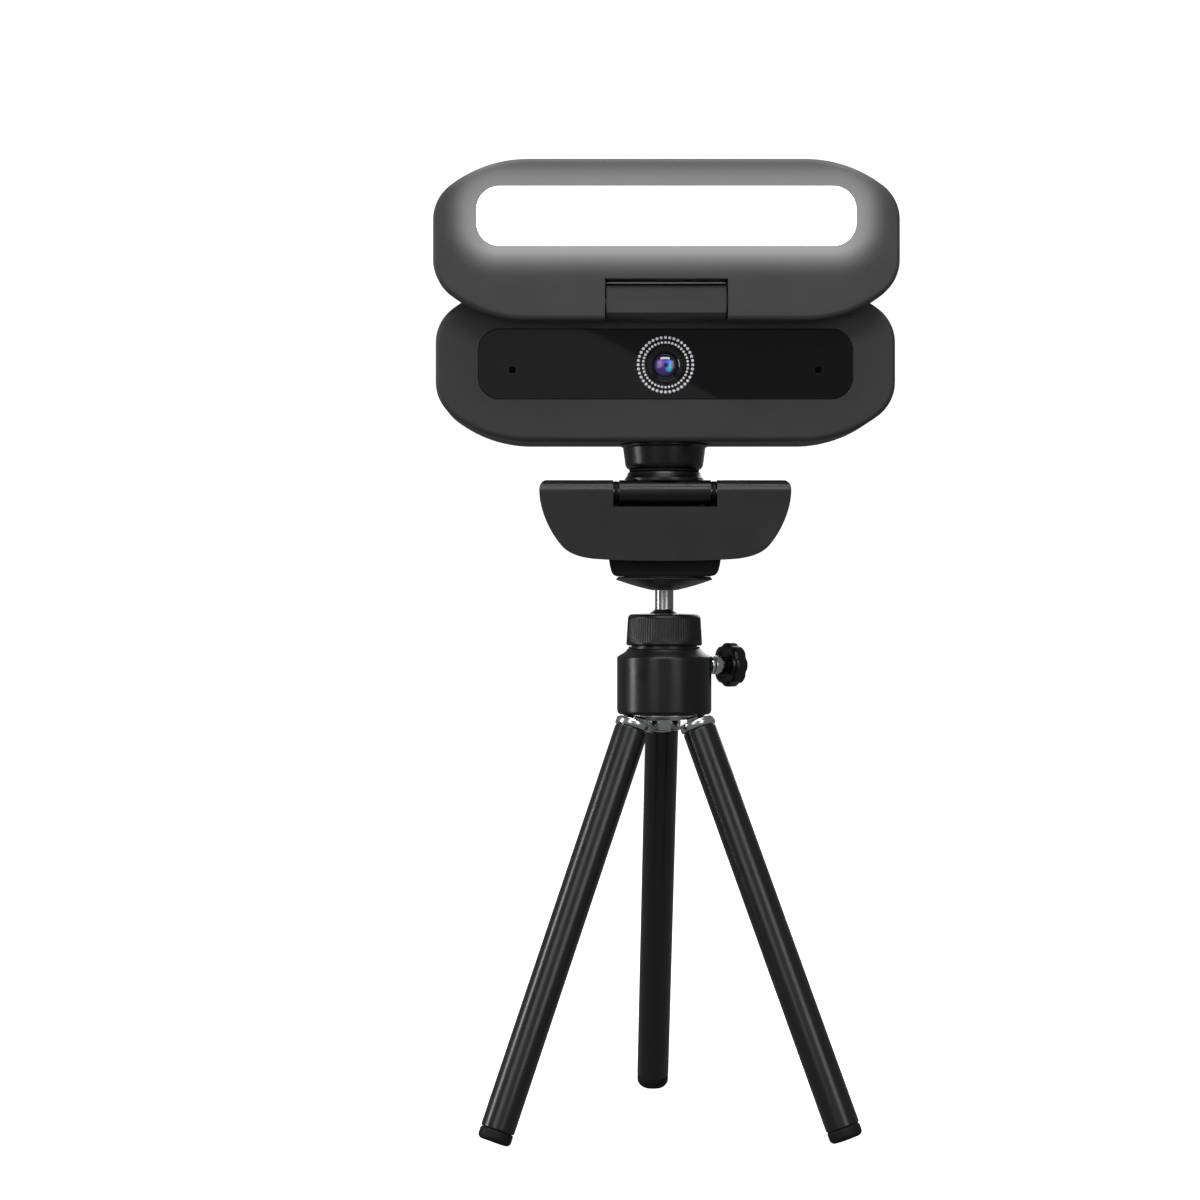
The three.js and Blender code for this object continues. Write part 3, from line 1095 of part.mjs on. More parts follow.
piece('leg_spider', legSpider(), CHROME);
piece('spider_screw', join(
  barZ(SPIDER_SCREW_HEAD_RADIUS, SCREW_SEAT_Z - 0.1 - SPIDER_SCREW_HEAD_HEIGHT, SCREW_SEAT_Z - 0.1),
  barZ(SPIDER_SCREW_RADIUS, HUB_LOW_Z + 0.5, SEAT_LOW_Z - 3),
), STEEL);

// A leg is built along -Z from its pivot, then leaned outwards, so its length follows from the height.
const FOOT_ROUND = 1.2;
const FOOT_FLAT = 0.25; // how far the round edge would reach under the floor before it is trimmed flat
const LEG_LENGTH = FOOT_ROUND + (
  LEG_PIVOT_Z - (LEG_RADIUS - FOOT_ROUND) * Math.sin(SPLAY) - FOOT_ROUND + FOOT_FLAT
) / Math.cos(SPLAY);
const PLUG_RADIUS = LEG_RADIUS - LEG_WALL - FIT;
const FERRULE_END = FERRULE_START + FERRULE_LENGTH;
const TUBE_START = FERRULE_END + FIT;
const TUBE_END = LEG_LENGTH - FOOT_LENGTH;
const HEAD_SHANK_RADIUS = FERRULE_RADIUS - FERRULE_WALL;
const SHANK_START = LUG_RADIUS + GAP;

function legHead() {
  const tongue = join(
    barY(LEG_TONGUE_RADIUS, -LEG_TONGUE_HALF_THICKNESS, LEG_TONGUE_HALF_THICKNESS, 0, 0),
    box(-LEG_TONGUE_RADIUS, LEG_TONGUE_RADIUS, -LEG_TONGUE_HALF_THICKNESS,
      LEG_TONGUE_HALF_THICKNESS, -SHANK_START - 0.5, 0),
  );
  return cut(
    join(tongue, barZ(HEAD_SHANK_RADIUS, -TUBE_START - SHANK_DEPTH, -SHANK_START)),
    barY(LEG_PIN_RADIUS + FIT, -6, 6, 0, 0, 12),
  );
}

// Ring round the leg's top with a thinner spigot inside the tube.
function legFerrule() {
  const low = -FERRULE_END - FERRULE_SKIRT;
  return cut(
    join(
      barZ(FERRULE_RADIUS, -FERRULE_END, -FERRULE_START),
      barZ(PLUG_RADIUS, low, -FERRULE_START - 1),
    ),
    barZ(HEAD_SHANK_RADIUS + FIT, low - 1, -FERRULE_START + 1),
  );
}

function legTube() {
  return cut(
    barZ(LEG_RADIUS, -TUBE_END, -TUBE_START),
    barZ(LEG_RADIUS - LEG_WALL, -TUBE_END - 1, -TUBE_START + 1),
  );
}

// Foot cap with a rounded end and a plug inside the tube.
function legFoot() {
  const plugTop = -TUBE_END + FOOT_PLUG_LENGTH;
  const shoulder = -TUBE_END - FIT;
  const cap = turned([
    [0, -LEG_LENGTH],
    ...arc(LEG_RADIUS - FOOT_ROUND, -LEG_LENGTH + FOOT_ROUND, FOOT_ROUND, -Math.PI / 2, 0, 3),
    [LEG_RADIUS, shoulder],
    [PLUG_RADIUS, shoulder],
    [PLUG_RADIUS, plugTop],
    [0, plugTop],
  ]);
  const lean = THREE.MathUtils.radToDeg(SPLAY);
  const standing = cap.rotate([0, -lean, 0]).translate([0, 0, LEG_PIVOT_Z]);
  const trimmed = cut(standing, box(-90, 90, -20, 20, -9, 0));
  return trimmed.translate([0, 0, -LEG_PIVOT_Z]).rotate([0, lean, 0]);
}

['back', 'left', 'right'].forEach((side, i) => {
  const turn = new THREE.Group();
  turn.rotation.z = legAzimuths[i];
  webcam.add(turn);
  const leg = new THREE.Group();
  leg.position.set(LEG_PIVOT_RADIUS, 0, LEG_PIVOT_Z);
  leg.rotation.y = -SPLAY;
  turn.add(leg);
  piece(`leg_head_${side}`, legHead(), BLACK_PLASTIC, leg);
  piece(`leg_ferrule_${side}`, legFerrule(), CHROME, leg);
  piece(`leg_tube_${side}`, legTube(), LEG_PAINT, leg);
  piece(`leg_foot_${side}`, legFoot(), RUBBER, leg);
  piece(`leg_pin_${side}`, barY(
    LEG_PIN_RADIUS, -LUG_GAP - LUG_THICKNESS, LUG_GAP + LUG_THICKNESS, 0, 0, 16,
  ), STEEL, leg);
});

// ---------------------------------------------------------------- place on the origin

const bounds = new THREE.Box3().setFromObject(webcam, true);
const middle = bounds.getCenter(new THREE.Vector3());
webcam.position.set(-middle.x, -middle.y, -bounds.min.z);

export default webcam;
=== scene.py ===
"""Folding-light webcam on a ball-head mini tripod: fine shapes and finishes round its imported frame."""
import json
import math

import bmesh
import bpy
from bpy.props import FloatProperty, FloatVectorProperty, IntProperty, PointerProperty
from mathutils import Matrix, Vector
from mathutils.geometry import interpolate_bezier


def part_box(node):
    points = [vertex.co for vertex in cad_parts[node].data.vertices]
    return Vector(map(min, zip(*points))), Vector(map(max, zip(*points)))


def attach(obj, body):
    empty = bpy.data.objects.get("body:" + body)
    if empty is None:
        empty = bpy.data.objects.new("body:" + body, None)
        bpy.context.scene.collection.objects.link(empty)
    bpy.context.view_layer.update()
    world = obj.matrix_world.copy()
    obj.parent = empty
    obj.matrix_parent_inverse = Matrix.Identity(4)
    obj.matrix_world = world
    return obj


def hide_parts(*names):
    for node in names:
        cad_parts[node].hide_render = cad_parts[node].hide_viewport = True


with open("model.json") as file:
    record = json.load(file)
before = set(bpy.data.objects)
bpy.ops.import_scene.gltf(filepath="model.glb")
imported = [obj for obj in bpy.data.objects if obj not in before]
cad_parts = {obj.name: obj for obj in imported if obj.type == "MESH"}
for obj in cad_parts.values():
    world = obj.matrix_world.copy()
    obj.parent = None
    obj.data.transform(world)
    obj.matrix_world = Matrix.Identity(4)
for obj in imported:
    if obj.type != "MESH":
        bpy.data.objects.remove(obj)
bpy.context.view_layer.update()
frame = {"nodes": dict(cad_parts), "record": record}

bl_info = {
    "name": "Webcam on tripod",
    "version": (1, 0, 0),
    "blender": (4, 5, 0),
    "location": "View3D > Sidebar > Webcam",
    "description": "Builds the webcam, its folding light, clip and mini tripod round the packed frame",
    "category": "Add Mesh",
}

MM = 0.001
FIT = 0.15 * MM  # play that the CAD leaves between pieces that fit into one another
GAP = 0.3 * MM  # and between pieces that turn past one another
JOINTS = {joint["name"]: joint for joint in frame["record"]["behaviour"]["joints"]}


class Span:
    """The box of a CAD node, with its middles and half sizes."""

    def __init__(self, node):
        low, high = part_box(node)
        self.x0, self.y0, self.z0 = low
        self.x1, self.y1, self.z1 = high
        self.x, self.y, self.z = (low + high) / 2
        self.half_x, self.half_y, self.half_z = (high - low) / 2


def joint_point(name):
    return Vector(JOINTS[name]["pos_m"])


AXIS = joint_point("ball_tilt").to_2d()  # the tripod's upright axis in plan


# ---------------------------------------------------------------- properties

def length(name, description, default):
    return FloatProperty(
        name=name, description=description, default=default, min=0.0, unit="LENGTH", precision=5,
    )


def colour(name, description, default):
    return FloatVectorProperty(
        name=name, description=description, default=default, min=0.0, max=1.0, size=3, subtype="COLOR",
    )


class WebcamSizes(bpy.types.PropertyGroup):
    front_fillet: length("Front fillet", "Rounding round the front face of the body", 1.3 * MM)
    rear_fillet: length("Rear fillet", "Rounding round the back of the body", 3.0 * MM)
    lid_fillet: length("Lid fillet", "Rounding round the front of the light lid", 1.2 * MM)
    lid_rear_fillet: length("Lid rear fillet", "Rounding round the back of the light lid", 3.9 * MM)
    wall: length("Wall", "Thickness of the moulded walls", 2.2 * MM)
    window_depth: length("Window depth", "How far the diffuser lies behind the lid's face", 1.8 * MM)
    dish_width: length("Dish width", "Width of the shallow dish round the window", 4.4 * MM)
    dish_depth: length("Dish depth", "Depth of the shallow dish round the window", 0.55 * MM)
    # how far the glow painted on the lid's face reaches out from the window
    painted_spill: length("Light spill", "How far the window's light reaches over the lid's face", 11 * MM)
    edge: length("Edge", "Rounding of moulded edges", 0.18 * MM)
    dot_count: IntProperty(
        name="Dots in a ring", description="White dots in each ring round the lens", default=40, min=8,
    )
    cap_flutes: IntProperty(
        name="Cap flutes", description="Grip flutes round the ball cap", default=88, min=12,
    )
    rim_teeth: IntProperty(
        name="Rim teeth", description="Knurls round the mount plate's rim", default=110, min=12,
    )


class WebcamColours(bpy.types.PropertyGroup):
    body: colour("Body", "Plastic of the camera body", (0.047, 0.047, 0.048))
    lid: colour("Lid", "Plastic of the light lid", (0.056, 0.056, 0.057))
    clip: colour("Clip", "Plastic of the clip's front plate", (0.019, 0.019, 0.019))
    black: colour("Black", "Black plastic of the neck, head and knob", (0.006, 0.006, 0.0065))
    gloss: colour("Panel", "Glossy face panel", (0.004, 0.004, 0.005))
    paint: colour("Paint", "Gloss paint of the leg tubes", (0.007, 0.007, 0.008))
    rubber: colour("Rubber", "Feet and pads", (0.006, 0.006, 0.006))
    chrome: colour("Chrome", "Plated parts", (0.78, 0.79, 0.80))
    steel: colour("Steel", "Turned steel", (0.45, 0.45, 0.46))
    light: colour("Light", "Colour of the lit diffuser", (1.0, 1.0, 1.0))


def sizes():
    return bpy.context.scene.webcam_sizes


def colours():
    return bpy.context.scene.webcam_colours


# ---------------------------------------------------------------- shader maths

class Value:
    """A number socket: arithmetic on it adds Math nodes."""

    def __init__(self, finish, socket):
        self.finish = finish
        self.socket = socket

    def math(self, operation, *terms, clamp=False):
        return self.finish.value("ShaderNodeMath", {"operation": operation, "use_clamp": clamp}, terms)

    def __add__(self, other):
        return self.math("ADD", self, other)

    def __sub__(self, other):
        return self.math("SUBTRACT", self, other)

    def __rsub__(self, other):
        return self.math("SUBTRACT", other, self)

    def __mul__(self, other):
        return self.math("MULTIPLY", self, other)

    __radd__ = __add__
    __rmul__ = __mul__

    def below(self, edge):
        return self.math("LESS_THAN", self, edge)

    def absolute(self):
        return self.math("ABSOLUTE", self)

    def at_least(self, least):
        return self.math("MAXIMUM", self, least)

    def root(self):
        return self.math("SQRT", self)


class Finish:
    """A material under construction round one Principled shader."""

    def __init__(self, name):
        self.material = bpy.data.materials.new(name)
        self.material.use_nodes = True
        self.tree = self.material.node_tree
        self.shader = self.tree.nodes["Principled BSDF"]

    def node(self, kind, settings=None, inputs=()):
        made = self.tree.nodes.new(kind)
        for key, setting in (settings or {}).items():
            if key == "stops":
                ramp = made.color_ramp
                while len(ramp.elements) < len(setting):
                    ramp.elements.new(0.5)
                for element, (position, shade) in zip(ramp.elements, setting):
                    element.position = position
                    element.color = (*shade, 1.0)
            else:
                setattr(made, key, setting)
        pairs = inputs.items() if isinstance(inputs, dict) else enumerate(inputs)
        for key, content in pairs:
            self.put(made.inputs[key], content)
        return made

    def put(self, socket, content):
        if isinstance(content, Value):
            self.tree.links.new(content.socket, socket)
        elif isinstance(content, bpy.types.NodeSocket):
            self.tree.links.new(content, socket)
        elif socket.type == "RGBA" and len(content) == 3:
            socket.default_value = (*content, 1.0)
        else:
            socket.default_value = content

    def value(self, kind, settings=None, inputs=(), output=0):
        return Value(self, self.node(kind, settings, inputs).outputs[output])

    def set(self, **sockets):
        for key, content in sockets.items():
            self.put(self.shader.inputs[key.replace("_", " ")], content)

    def place(self, offset=(0, 0, 0), rotation=(0, 0, 0)):
        coordinates = self.node("ShaderNodeTexCoord")
        mapping = self.node("ShaderNodeMapping", {"vector_type": "POINT"}, {
            "Vector": coordinates.outputs["Object"], "Location": offset, "Rotation": rotation,
        })
        return mapping.outputs[0]

    def noise(self, size, detail=3.0, where=None):
        return self.value("ShaderNodeTexNoise", {}, {
            "Vector": where or self.place(), "Scale": 1 / size, "Detail": detail,
        })

    def mix(self, factor, first, second):
        made = self.node("ShaderNodeMix", {"data_type": "RGBA"}, {0: factor, 6: first, 7: second})
        return made.outputs[2]

    def spread(self, value, low, high, start=0.3, end=0.7):
        """Value between start and end, spread over low to high."""
        return self.value("ShaderNodeMapRange", {"clamp": True}, (value, start, end, low, high))

    def bump(self, height, distance, strength=1.0):
        made = self.node("ShaderNodeBump", {}, {
            "Height": height, "Distance": distance, "Strength": strength,
        })
        self.put(self.shader.inputs["Normal"], made.outputs[0])


_finishes = {}


def finish_once(maker):
    """A material is made the first time a piece asks for it."""
    def wrapped():
        if maker.__name__ not in _finishes:
            _finishes[maker.__name__] = maker().material
        return _finishes[maker.__name__]
    return wrapped


def scale_shade(shade, factor):
    return tuple(min(1.0, channel * factor) for channel in shade)


def moulded(name, shade, roughness, grain=0.35 * MM, depth=0.006 * MM, level=0.5):
    """Moulded plastic: spark-eroded grain, cloudy gloss and a faint change of shade."""
    finish = Finish(name)
    cloud = finish.noise(9 * MM, 2.0)
    grains = finish.noise(grain, 2.0)
    tint = finish.mix(finish.spread(cloud, 0.0, 1.0), scale_shade(shade, 0.93), scale_shade(shade, 1.07))
    finish.set(Base_Color=tint, Specular_IOR_Level=level)
    finish.set(Roughness=finish.spread(cloud, roughness - 0.03, roughness + 0.04)
               + finish.spread(grains, -0.02, 0.02))
    finish.bump(grains, depth)
    return finish


@finish_once
def body_plastic():
    return moulded("body plastic", colours().body, 0.52, level=0.35)


@finish_once
def lid_plastic_painted_glow():
    """The body's plastic, with a painted glow from the lit window fading out over the front face."""
    finish = moulded("lid plastic", colours().lid, 0.5, level=0.35)
    half_x, half_z, radius = window_size()
    window = Span("light_diffuser")
    centred = finish.place(offset=(-window.x, 0, -window.z))
    parts = finish.node("ShaderNodeSeparateXYZ", {}, {0: centred})
    across, depth, up = (Value(finish, output) for output in parts.outputs)
    beyond_x = (across.absolute() - (half_x - radius)).at_least(0.0)
    beyond_z = (up.absolute() - (half_z - radius)).at_least(0.0)
    away = (beyond_x * beyond_x + beyond_z * beyond_z).root() - radius
    painted_spill = finish.value("ShaderNodeMapRange", {"clamp": True, "interpolation_type": "SMOOTHERSTEP"},
                         (away, 0.0, sizes().painted_spill, 1.0, 0.0))
    in_front = depth.below(Span("lid_front_frame").y0 + 2.5 * MM)
    # painted light: the lid's plastic glows near the window, fading out, in place of the window's light
    # falling on it
    finish.set(Emission_Color=finish.mix(painted_spill * painted_spill * in_front, (0, 0, 0), colours().light))
    finish.set(Emission_Strength=0.22)
    return finish


@finish_once
def clip_plastic():
    return moulded("clip plastic", colours().clip, 0.33, 0.3 * MM, 0.002 * MM, 0.5)


@finish_once
def black_plastic():
    return moulded("black plastic", colours().black, 0.3, 0.4 * MM, 0.002 * MM)


@finish_once
def knob_plastic():
    return moulded("knob plastic", colours().black, 0.3, 0.5 * MM, 0.003 * MM)


@finish_once
def leg_paint():
    finish = moulded("leg paint", colours().paint, 0.3, 2.5 * MM, 0.0001 * MM)
    finish.set(Coat_Weight=0.4, Coat_Roughness=0.16)
    return finish


@finish_once
def rubber():
    return moulded("rubber", colours().rubber, 0.62, 0.25 * MM, 0.012 * MM, 0.3)


@finish_once
def panel_gloss():
    """Black glass-like face with the faintest smears in its gloss."""
    finish = Finish("panel gloss")
    smear = finish.noise(14 * MM, 2.0)
    finish.set(Base_Color=finish.mix(smear, colours().gloss, scale_shade(colours().gloss, 1.4)))
    finish.set(Roughness=finish.spread(smear, 0.015, 0.03), Specular_IOR_Level=0.5)
    finish.bump(finish.noise(30 * MM, 1.0), 0.0004 * MM)
    return finish


def metal(name, shade, roughness, turned_lines=0.0):
    """Plated or turned metal; turned lines are a fine bump drawn out round the piece."""
    finish = Finish(name)
    cloud = finish.noise(4 * MM, 3.0)
    finish.set(Base_Color=finish.mix(cloud, scale_shade(shade, 0.9), shade), Metallic=1.0)
    finish.set(Roughness=finish.spread(cloud, roughness - 0.03, roughness + 0.05))
    fine = finish.noise(0.3 * MM, 2.0)
    if turned_lines:
        across = finish.node("ShaderNodeMapping", {}, {"Vector": finish.place(), "Scale": (1, 1, 14)})
        fine = finish.noise(2.4 * MM, 4.0, across.outputs[0])
    finish.bump(fine, max(turned_lines, 0.0008 * MM))
    return finish


@finish_once
def chrome():
    return metal("chrome", colours().chrome, 0.09)


@finish_once
def steel():
    return metal("turned steel", colours().steel, 0.24, 0.004 * MM)


@finish_once
def dark_steel():
    return metal("dark steel", scale_shade(colours().steel, 0.55), 0.3, 0.006 * MM)


@finish_once
def brass():
    return metal("brass", (0.6, 0.42, 0.16), 0.28, 0.004 * MM)


@finish_once
def printed_dots_painted_glow():
    finish = Finish("printed white")
    grain = finish.noise(0.2 * MM, 2.0)
    finish.set(Base_Color=finish.mix(grain, (0.62, 0.63, 0.66), (0.8, 0.8, 0.82)), Roughness=0.45)
    # painted light: the printed dots are given a faint glow
    finish.set(Emission_Color=(0.75, 0.76, 0.8), Emission_Strength=0.22)
    finish.bump(grain, 0.002 * MM)
    return finish


@finish_once
def lit_diffuser():
    """Opal sheet, lit from behind, with a very faint mottling."""
    finish = Finish("lit diffuser")
    mottle = finish.noise(0.6 * MM, 2.0)
    white = colours().light
    finish.set(Base_Color=finish.mix(mottle, scale_shade(white, 0.9), white), Roughness=0.45)
    finish.set(Emission_Color=finish.mix(mottle, scale_shade(white, 0.985), white))
    finish.set(Emission_Strength=3.2)
    finish.bump(mottle, 0.003 * MM)
    return finish


@finish_once
def lens_coating_painted_reflections():
    """Coated glass with painted reflections: a dark pupil, a painted violet and blue reflection to one side
    and a painted cyan highlight to the other.
    """
    finish = Finish("lens coating")
    lens = Span("lens_glass")
    centred = finish.place(offset=(-lens.x, -lens.y, -lens.z))
    parts = finish.node("ShaderNodeSeparateXYZ", {}, {0: centred})
    across = Value(finish, parts.outputs[0]) * (1 / lens.half_x)
    up = Value(finish, parts.outputs[2]) * (1 / lens.half_x)

    # a soft round patch of painted reflection colour on the glass
    def painted_spot(x, z, size):
        away = (across - x) * (across - x) + (up - z) * (up - z)
        return finish.value("ShaderNodeMapRange", {"clamp": True, "interpolation_type": "SMOOTHSTEP"},
                            (away, 0.0, size * size, 1.0, 0.0))

    shade = finish.mix(painted_spot(-0.15, -0.1, 0.95), (0.004, 0.004, 0.012), (0.045, 0.02, 0.16))
    shade = finish.mix(painted_spot(-0.30, 0.22, 0.42) * 0.9, shade, (0.22, 0.07, 0.42))
    shade = finish.mix(painted_spot(0.26, 0.16, 0.40) * 0.9, shade, (0.05, 0.18, 0.75))
    shade = finish.mix(painted_spot(0.30, -0.30, 0.34) * 0.8, shade, (0.04, 0.42, 0.62))
    shade = finish.mix(painted_spot(0.02, 0.0, 0.27), shade, (0.006, 0.004, 0.03))
    # painted light: the painted reflection colours are also given off as a glow
    finish.set(Base_Color=shade, Roughness=0.04, Emission_Color=shade, Emission_Strength=0.55)
    finish.set(Coat_Weight=1.0, Coat_Roughness=0.02)
    finish.bump(finish.noise(6 * MM, 1.0), 0.001 * MM)
    return finish


@finish_once
def circuit_board():
    finish = Finish("circuit board")
    weave = finish.noise(0.5 * MM, 2.0)
    tracks = finish.value("ShaderNodeTexVoronoi", {"feature": "DISTANCE_TO_EDGE"}, {
        "Vector": finish.place(), "Scale": 1 / (3 * MM),
    })
    line = 1 - finish.spread(tracks, 0.0, 1.0, 0.02, 0.05)
    finish.set(Base_Color=finish.mix(line, (0.008, 0.09, 0.03), (0.03, 0.2, 0.07)))
    finish.set(Roughness=finish.spread(weave, 0.35, 0.5))
    finish.bump(line + weave * 0.2, 0.02 * MM)
    return finish


@finish_once
def nylon():
    return moulded("nylon", (0.62, 0.6, 0.55), 0.5, 0.5 * MM, 0.004 * MM)


# ---------------------------------------------------------------- mesh tools

def loop(bm, y, middle, half_x, half_z, arcs):
    """A closed outline in an XZ plane: a quadrant drawn by spinning its tip, then mirrored twice."""
    before = set(bm.edges)
    first = bm.verts.new((half_x, 0, 0))
    tip = bm.verts.new((half_x, 0, arcs[0][0][1]))
    drawn = [first, tip, bm.edges.new((first, tip))]
    for (centre_x, centre_z), angle, steps in arcs:
        swept = bmesh.ops.spin(
            bm, geom=[tip], cent=(centre_x, 0, centre_z), axis=(0, -1, 0), angle=angle, steps=steps,
        )
        tip = swept["geom_last"][0]
    last = bm.verts.new((0, 0, half_z))
    bm.edges.new((tip, last))
    drawn = [edge for edge in bm.edges if edge not in before]
    for axis in ("X", "Z"):
        corners = list({vert for edge in drawn for vert in edge.verts})
        bmesh.ops.mirror(bm, geom=corners + drawn, merge_dist=1e-7, axis=axis)
        drawn = [edge for edge in bm.edges if edge not in before]
    corners = list({vert for edge in drawn for vert in edge.verts})
    bmesh.ops.translate(bm, verts=corners, vec=(middle[0], y, middle[1]))
    return drawn


LIP = 0.02 * MM  # a step this small keeps nested loops out of one plane, where a bridge can twist
WIDE_RADIUS = 31 * MM
TIGHT_RADIUS = 10.4 * MM
WIDE_SWEEP = 0.656
CORNER_STEPS = 14


def body_loop(bm, span, y, inset=0.0):
    """The outline that the camera body and the lid share, moved inwards by inset."""
    tight_x = span.half_x - TIGHT_RADIUS
    wide_x = tight_x - (WIDE_RADIUS - TIGHT_RADIUS) * math.sin(WIDE_SWEEP)
    wide_z = span.half_z - WIDE_RADIUS
    tight_z = wide_z + (WIDE_RADIUS - TIGHT_RADIUS) * math.cos(WIDE_SWEEP)
    arcs = [
        ((tight_x, tight_z), math.pi / 2 - WIDE_SWEEP, CORNER_STEPS),
        ((wide_x, wide_z), WIDE_SWEEP, CORNER_STEPS),
    ]
    return loop(bm, y, (span.x, span.z), span.half_x - inset, span.half_z - inset, arcs)


def panel_loop(bm, y, middle, half_x, half_z, radius):
    arcs = [((half_x - radius, half_z - radius), math.pi / 2, 2 * CORNER_STEPS)]
    return loop(bm, y, middle, half_x, half_z, arcs)


def bridge(bm, *loops):
    for first, second in zip(loops, loops[1:]):
        bmesh.ops.bridge_loops(bm, edges=first + second)


def face_out(bm):
    bmesh.ops.remove_doubles(bm, verts=bm.verts, dist=1e-7)
    bmesh.ops.recalc_face_normals(bm, faces=bm.faces)
    return bm


def skin(bm, *loops):
    """Bridges the loops in turn, then closes both ends. An end closed first would twist its bridge."""
    bridge(bm, *loops)
    for end in (loops[0], loops[-1]):
        bmesh.ops.contextual_create(bm, geom=end)
    return face_out(bm)


def turned(profile, steps=96, ring=False):
    """A profile of (radius, height) points spun about the tripod's axis."""
    bm = bmesh.new()
    verts = [bm.verts.new((radius, 0, height)) for radius, height in profile]
    edges = [bm.edges.new(pair) for pair in zip(verts, verts[1:])]
    if ring:
        edges.append(bm.edges.new((verts[-1], verts[0])))
    bmesh.ops.spin(
        bm, geom=verts + edges, cent=(0, 0, 0), axis=(0, 0, 1), angle=2 * math.pi, steps=steps,
        use_merge=True,
    )
    face_out(bm)
    bmesh.ops.translate(bm, verts=bm.verts, vec=AXIS.to_3d())
    return bm


def arc(centre, radius, start, end, steps=8):
    """Points of an arc in a profile, from angle start to angle end in degrees."""
    angles = [math.radians(start + (end - start) * i / steps) for i in range(steps + 1)]
    return [(centre[0] + radius * math.cos(a), centre[1] + radius * math.sin(a)) for a in angles]


def bar(radius, start, end, segments=48):
    """A round bar between two points."""
    bm = bmesh.new()
    start = Vector(start)
    end = Vector(end)
    along = end - start
    place = Matrix.Translation((start + end) / 2) @ along.to_track_quat("Z", "Y").to_matrix().to_4x4()
    bmesh.ops.create_cone(
        bm, cap_ends=True, segments=segments, radius1=radius, radius2=radius, depth=along.length,
        matrix=place,
    )
    return bm


def block(low, high):
    low = Vector(low)
    high = Vector(high)
    bm = bmesh.new()
    place = Matrix.Translation((low + high) / 2) @ Matrix.Diagonal((*(high - low), 1))
    bmesh.ops.create_cube(bm, size=1, matrix=place)
    return bm


def prism(points, axis, start, end):
    """A flat outline pushed along X or Y; points give the other two coordinates."""
    bm = bmesh.new()
    if axis == "X":
        verts = [bm.verts.new((start, y, z)) for y, z in points]
        push = (end - start, 0, 0)
    else:
        verts = [bm.verts.new((x, start, z)) for x, z in points]
        push = (0, end - start, 0)
    face = bm.faces.new(verts)
    pushed = bmesh.ops.extrude_face_region(bm, geom=[face], use_keep_orig=True)
    moved = [item for item in pushed["geom"] if isinstance(item, bmesh.types.BMVert)]
    bmesh.ops.translate(bm, verts=moved, vec=push)
    return face_out(bm)


def soften(bm, width, angle=30, segments=3):
    """Rounds the edges that turn by more than angle degrees."""
    limit = math.radians(angle)
    edges = [edge for edge in bm.edges if edge.is_manifold and edge.calc_face_angle(0) > limit]
    bmesh.ops.bevel(
        bm, geom=edges, offset=width, offset_type="OFFSET", affect="EDGES", segments=segments,
        profile=0.5, material=-1, clamp_overlap=True,
    )
    return bm


def loose_object(bm):
    mesh = bpy.data.meshes.new("tool")
    bm.to_mesh(mesh)
    bm.free()
    made = bpy.data.objects.new("tool", mesh)
    bpy.context.scene.collection.objects.link(made)
    return made


def combine(first, second, operation="DIFFERENCE"):
    """first cut by second, or joined with it."""
    target = loose_object(first)
    tool = loose_object(second)
    modifier = target.modifiers.new("combine", "BOOLEAN")
    modifier.operation = operation
    modifier.solver = "EXACT"
    modifier.object = tool
    result = bmesh.new()
    evaluated = target.evaluated_get(bpy.context.evaluated_depsgraph_get())
    result.from_mesh(evaluated.to_mesh())
    evaluated.to_mesh_clear()
    for used in (target, tool):
        mesh = used.data
        bpy.data.objects.remove(used)
        bpy.data.meshes.remove(mesh)
    if not result.faces:
        raise RuntimeError("a cut left nothing of a piece")
    bmesh.ops.remove_doubles(result, verts=result.verts, dist=1e-7)
    bmesh.ops.dissolve_degenerate(result, edges=result.edges, dist=1e-7)
    return result


def carve(bm, *cutters):
    for cutter in cutters:
        bm = combine(bm, cutter)
    return bm


def weld(bm, *others):
    for other in others:
        bm = combine(bm, other, "UNION")
    return bm


def piece(name, bm, material, body, replaced=(), edge=None, angle=35, segments=3):
    """Makes the finished object: rounded edges, even shading, its finish and its body."""
    mesh = bpy.data.meshes.new(name)
    for face in bm.faces:
        face.smooth = True
    bm.to_mesh(mesh)
    bm.free()
    made = bpy.data.objects.new(name, mesh)
    bpy.context.scene.collection.objects.link(made)
    mesh.materials.append(material)
    width = sizes().edge if edge is None else edge
    if width:
        rounding = made.modifiers.new("Rounded edges", "BEVEL")
        rounding.width = width
        rounding.segments = segments
        rounding.limit_method = "ANGLE"
        rounding.angle_limit = math.radians(angle)
        rounding.miter_outer = "MITER_ARC"
    shading = made.modifiers.new("Even shading", "WEIGHTED_NORMAL")
    shading.keep_sharp = True
    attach(made, body)
    if replaced:
        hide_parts(*replaced)
    return made


# ---------------------------------------------------------------- light lid

DIFFUSER_LAP = 3 * MM
WINDOW_RADIUS = 5.6 * MM
LIGHT_CAVITY_GROWTH = 3.3 * MM  # the room behind the frame is this much wider than the window


def window_size():
    """Half width, half height, corner radius of the lid's window, from the diffuser that laps it."""
    diffuser = Span("light_diffuser")
    return diffuser.half_x - DIFFUSER_LAP, diffuser.half_z - DIFFUSER_LAP, WINDOW_RADIUS


def window_loop(bm, y, grow):
    half_x, half_z, radius = window_size()
    diffuser = Span("light_diffuser")
    return panel_loop(bm, y, (diffuser.x, diffuser.z), half_x + grow, half_z + grow, radius + grow)


def fillet_loops(bm, span, y_face, y_inner, radius, steps=5):
    """Body outlines from the face, inset by the fillet, round to the full outline at y_inner."""
    inward = 1 if y_inner > y_face else -1
    made = []
    for i in range(steps + 1):
        angle = math.pi / 2 * i / steps
        y = y_face + inward * radius * (1 - math.cos(angle))
        made.append(body_loop(bm, span, y, radius * (1 - math.sin(angle))))
    made.append(body_loop(bm, span, y_inner))
    return made


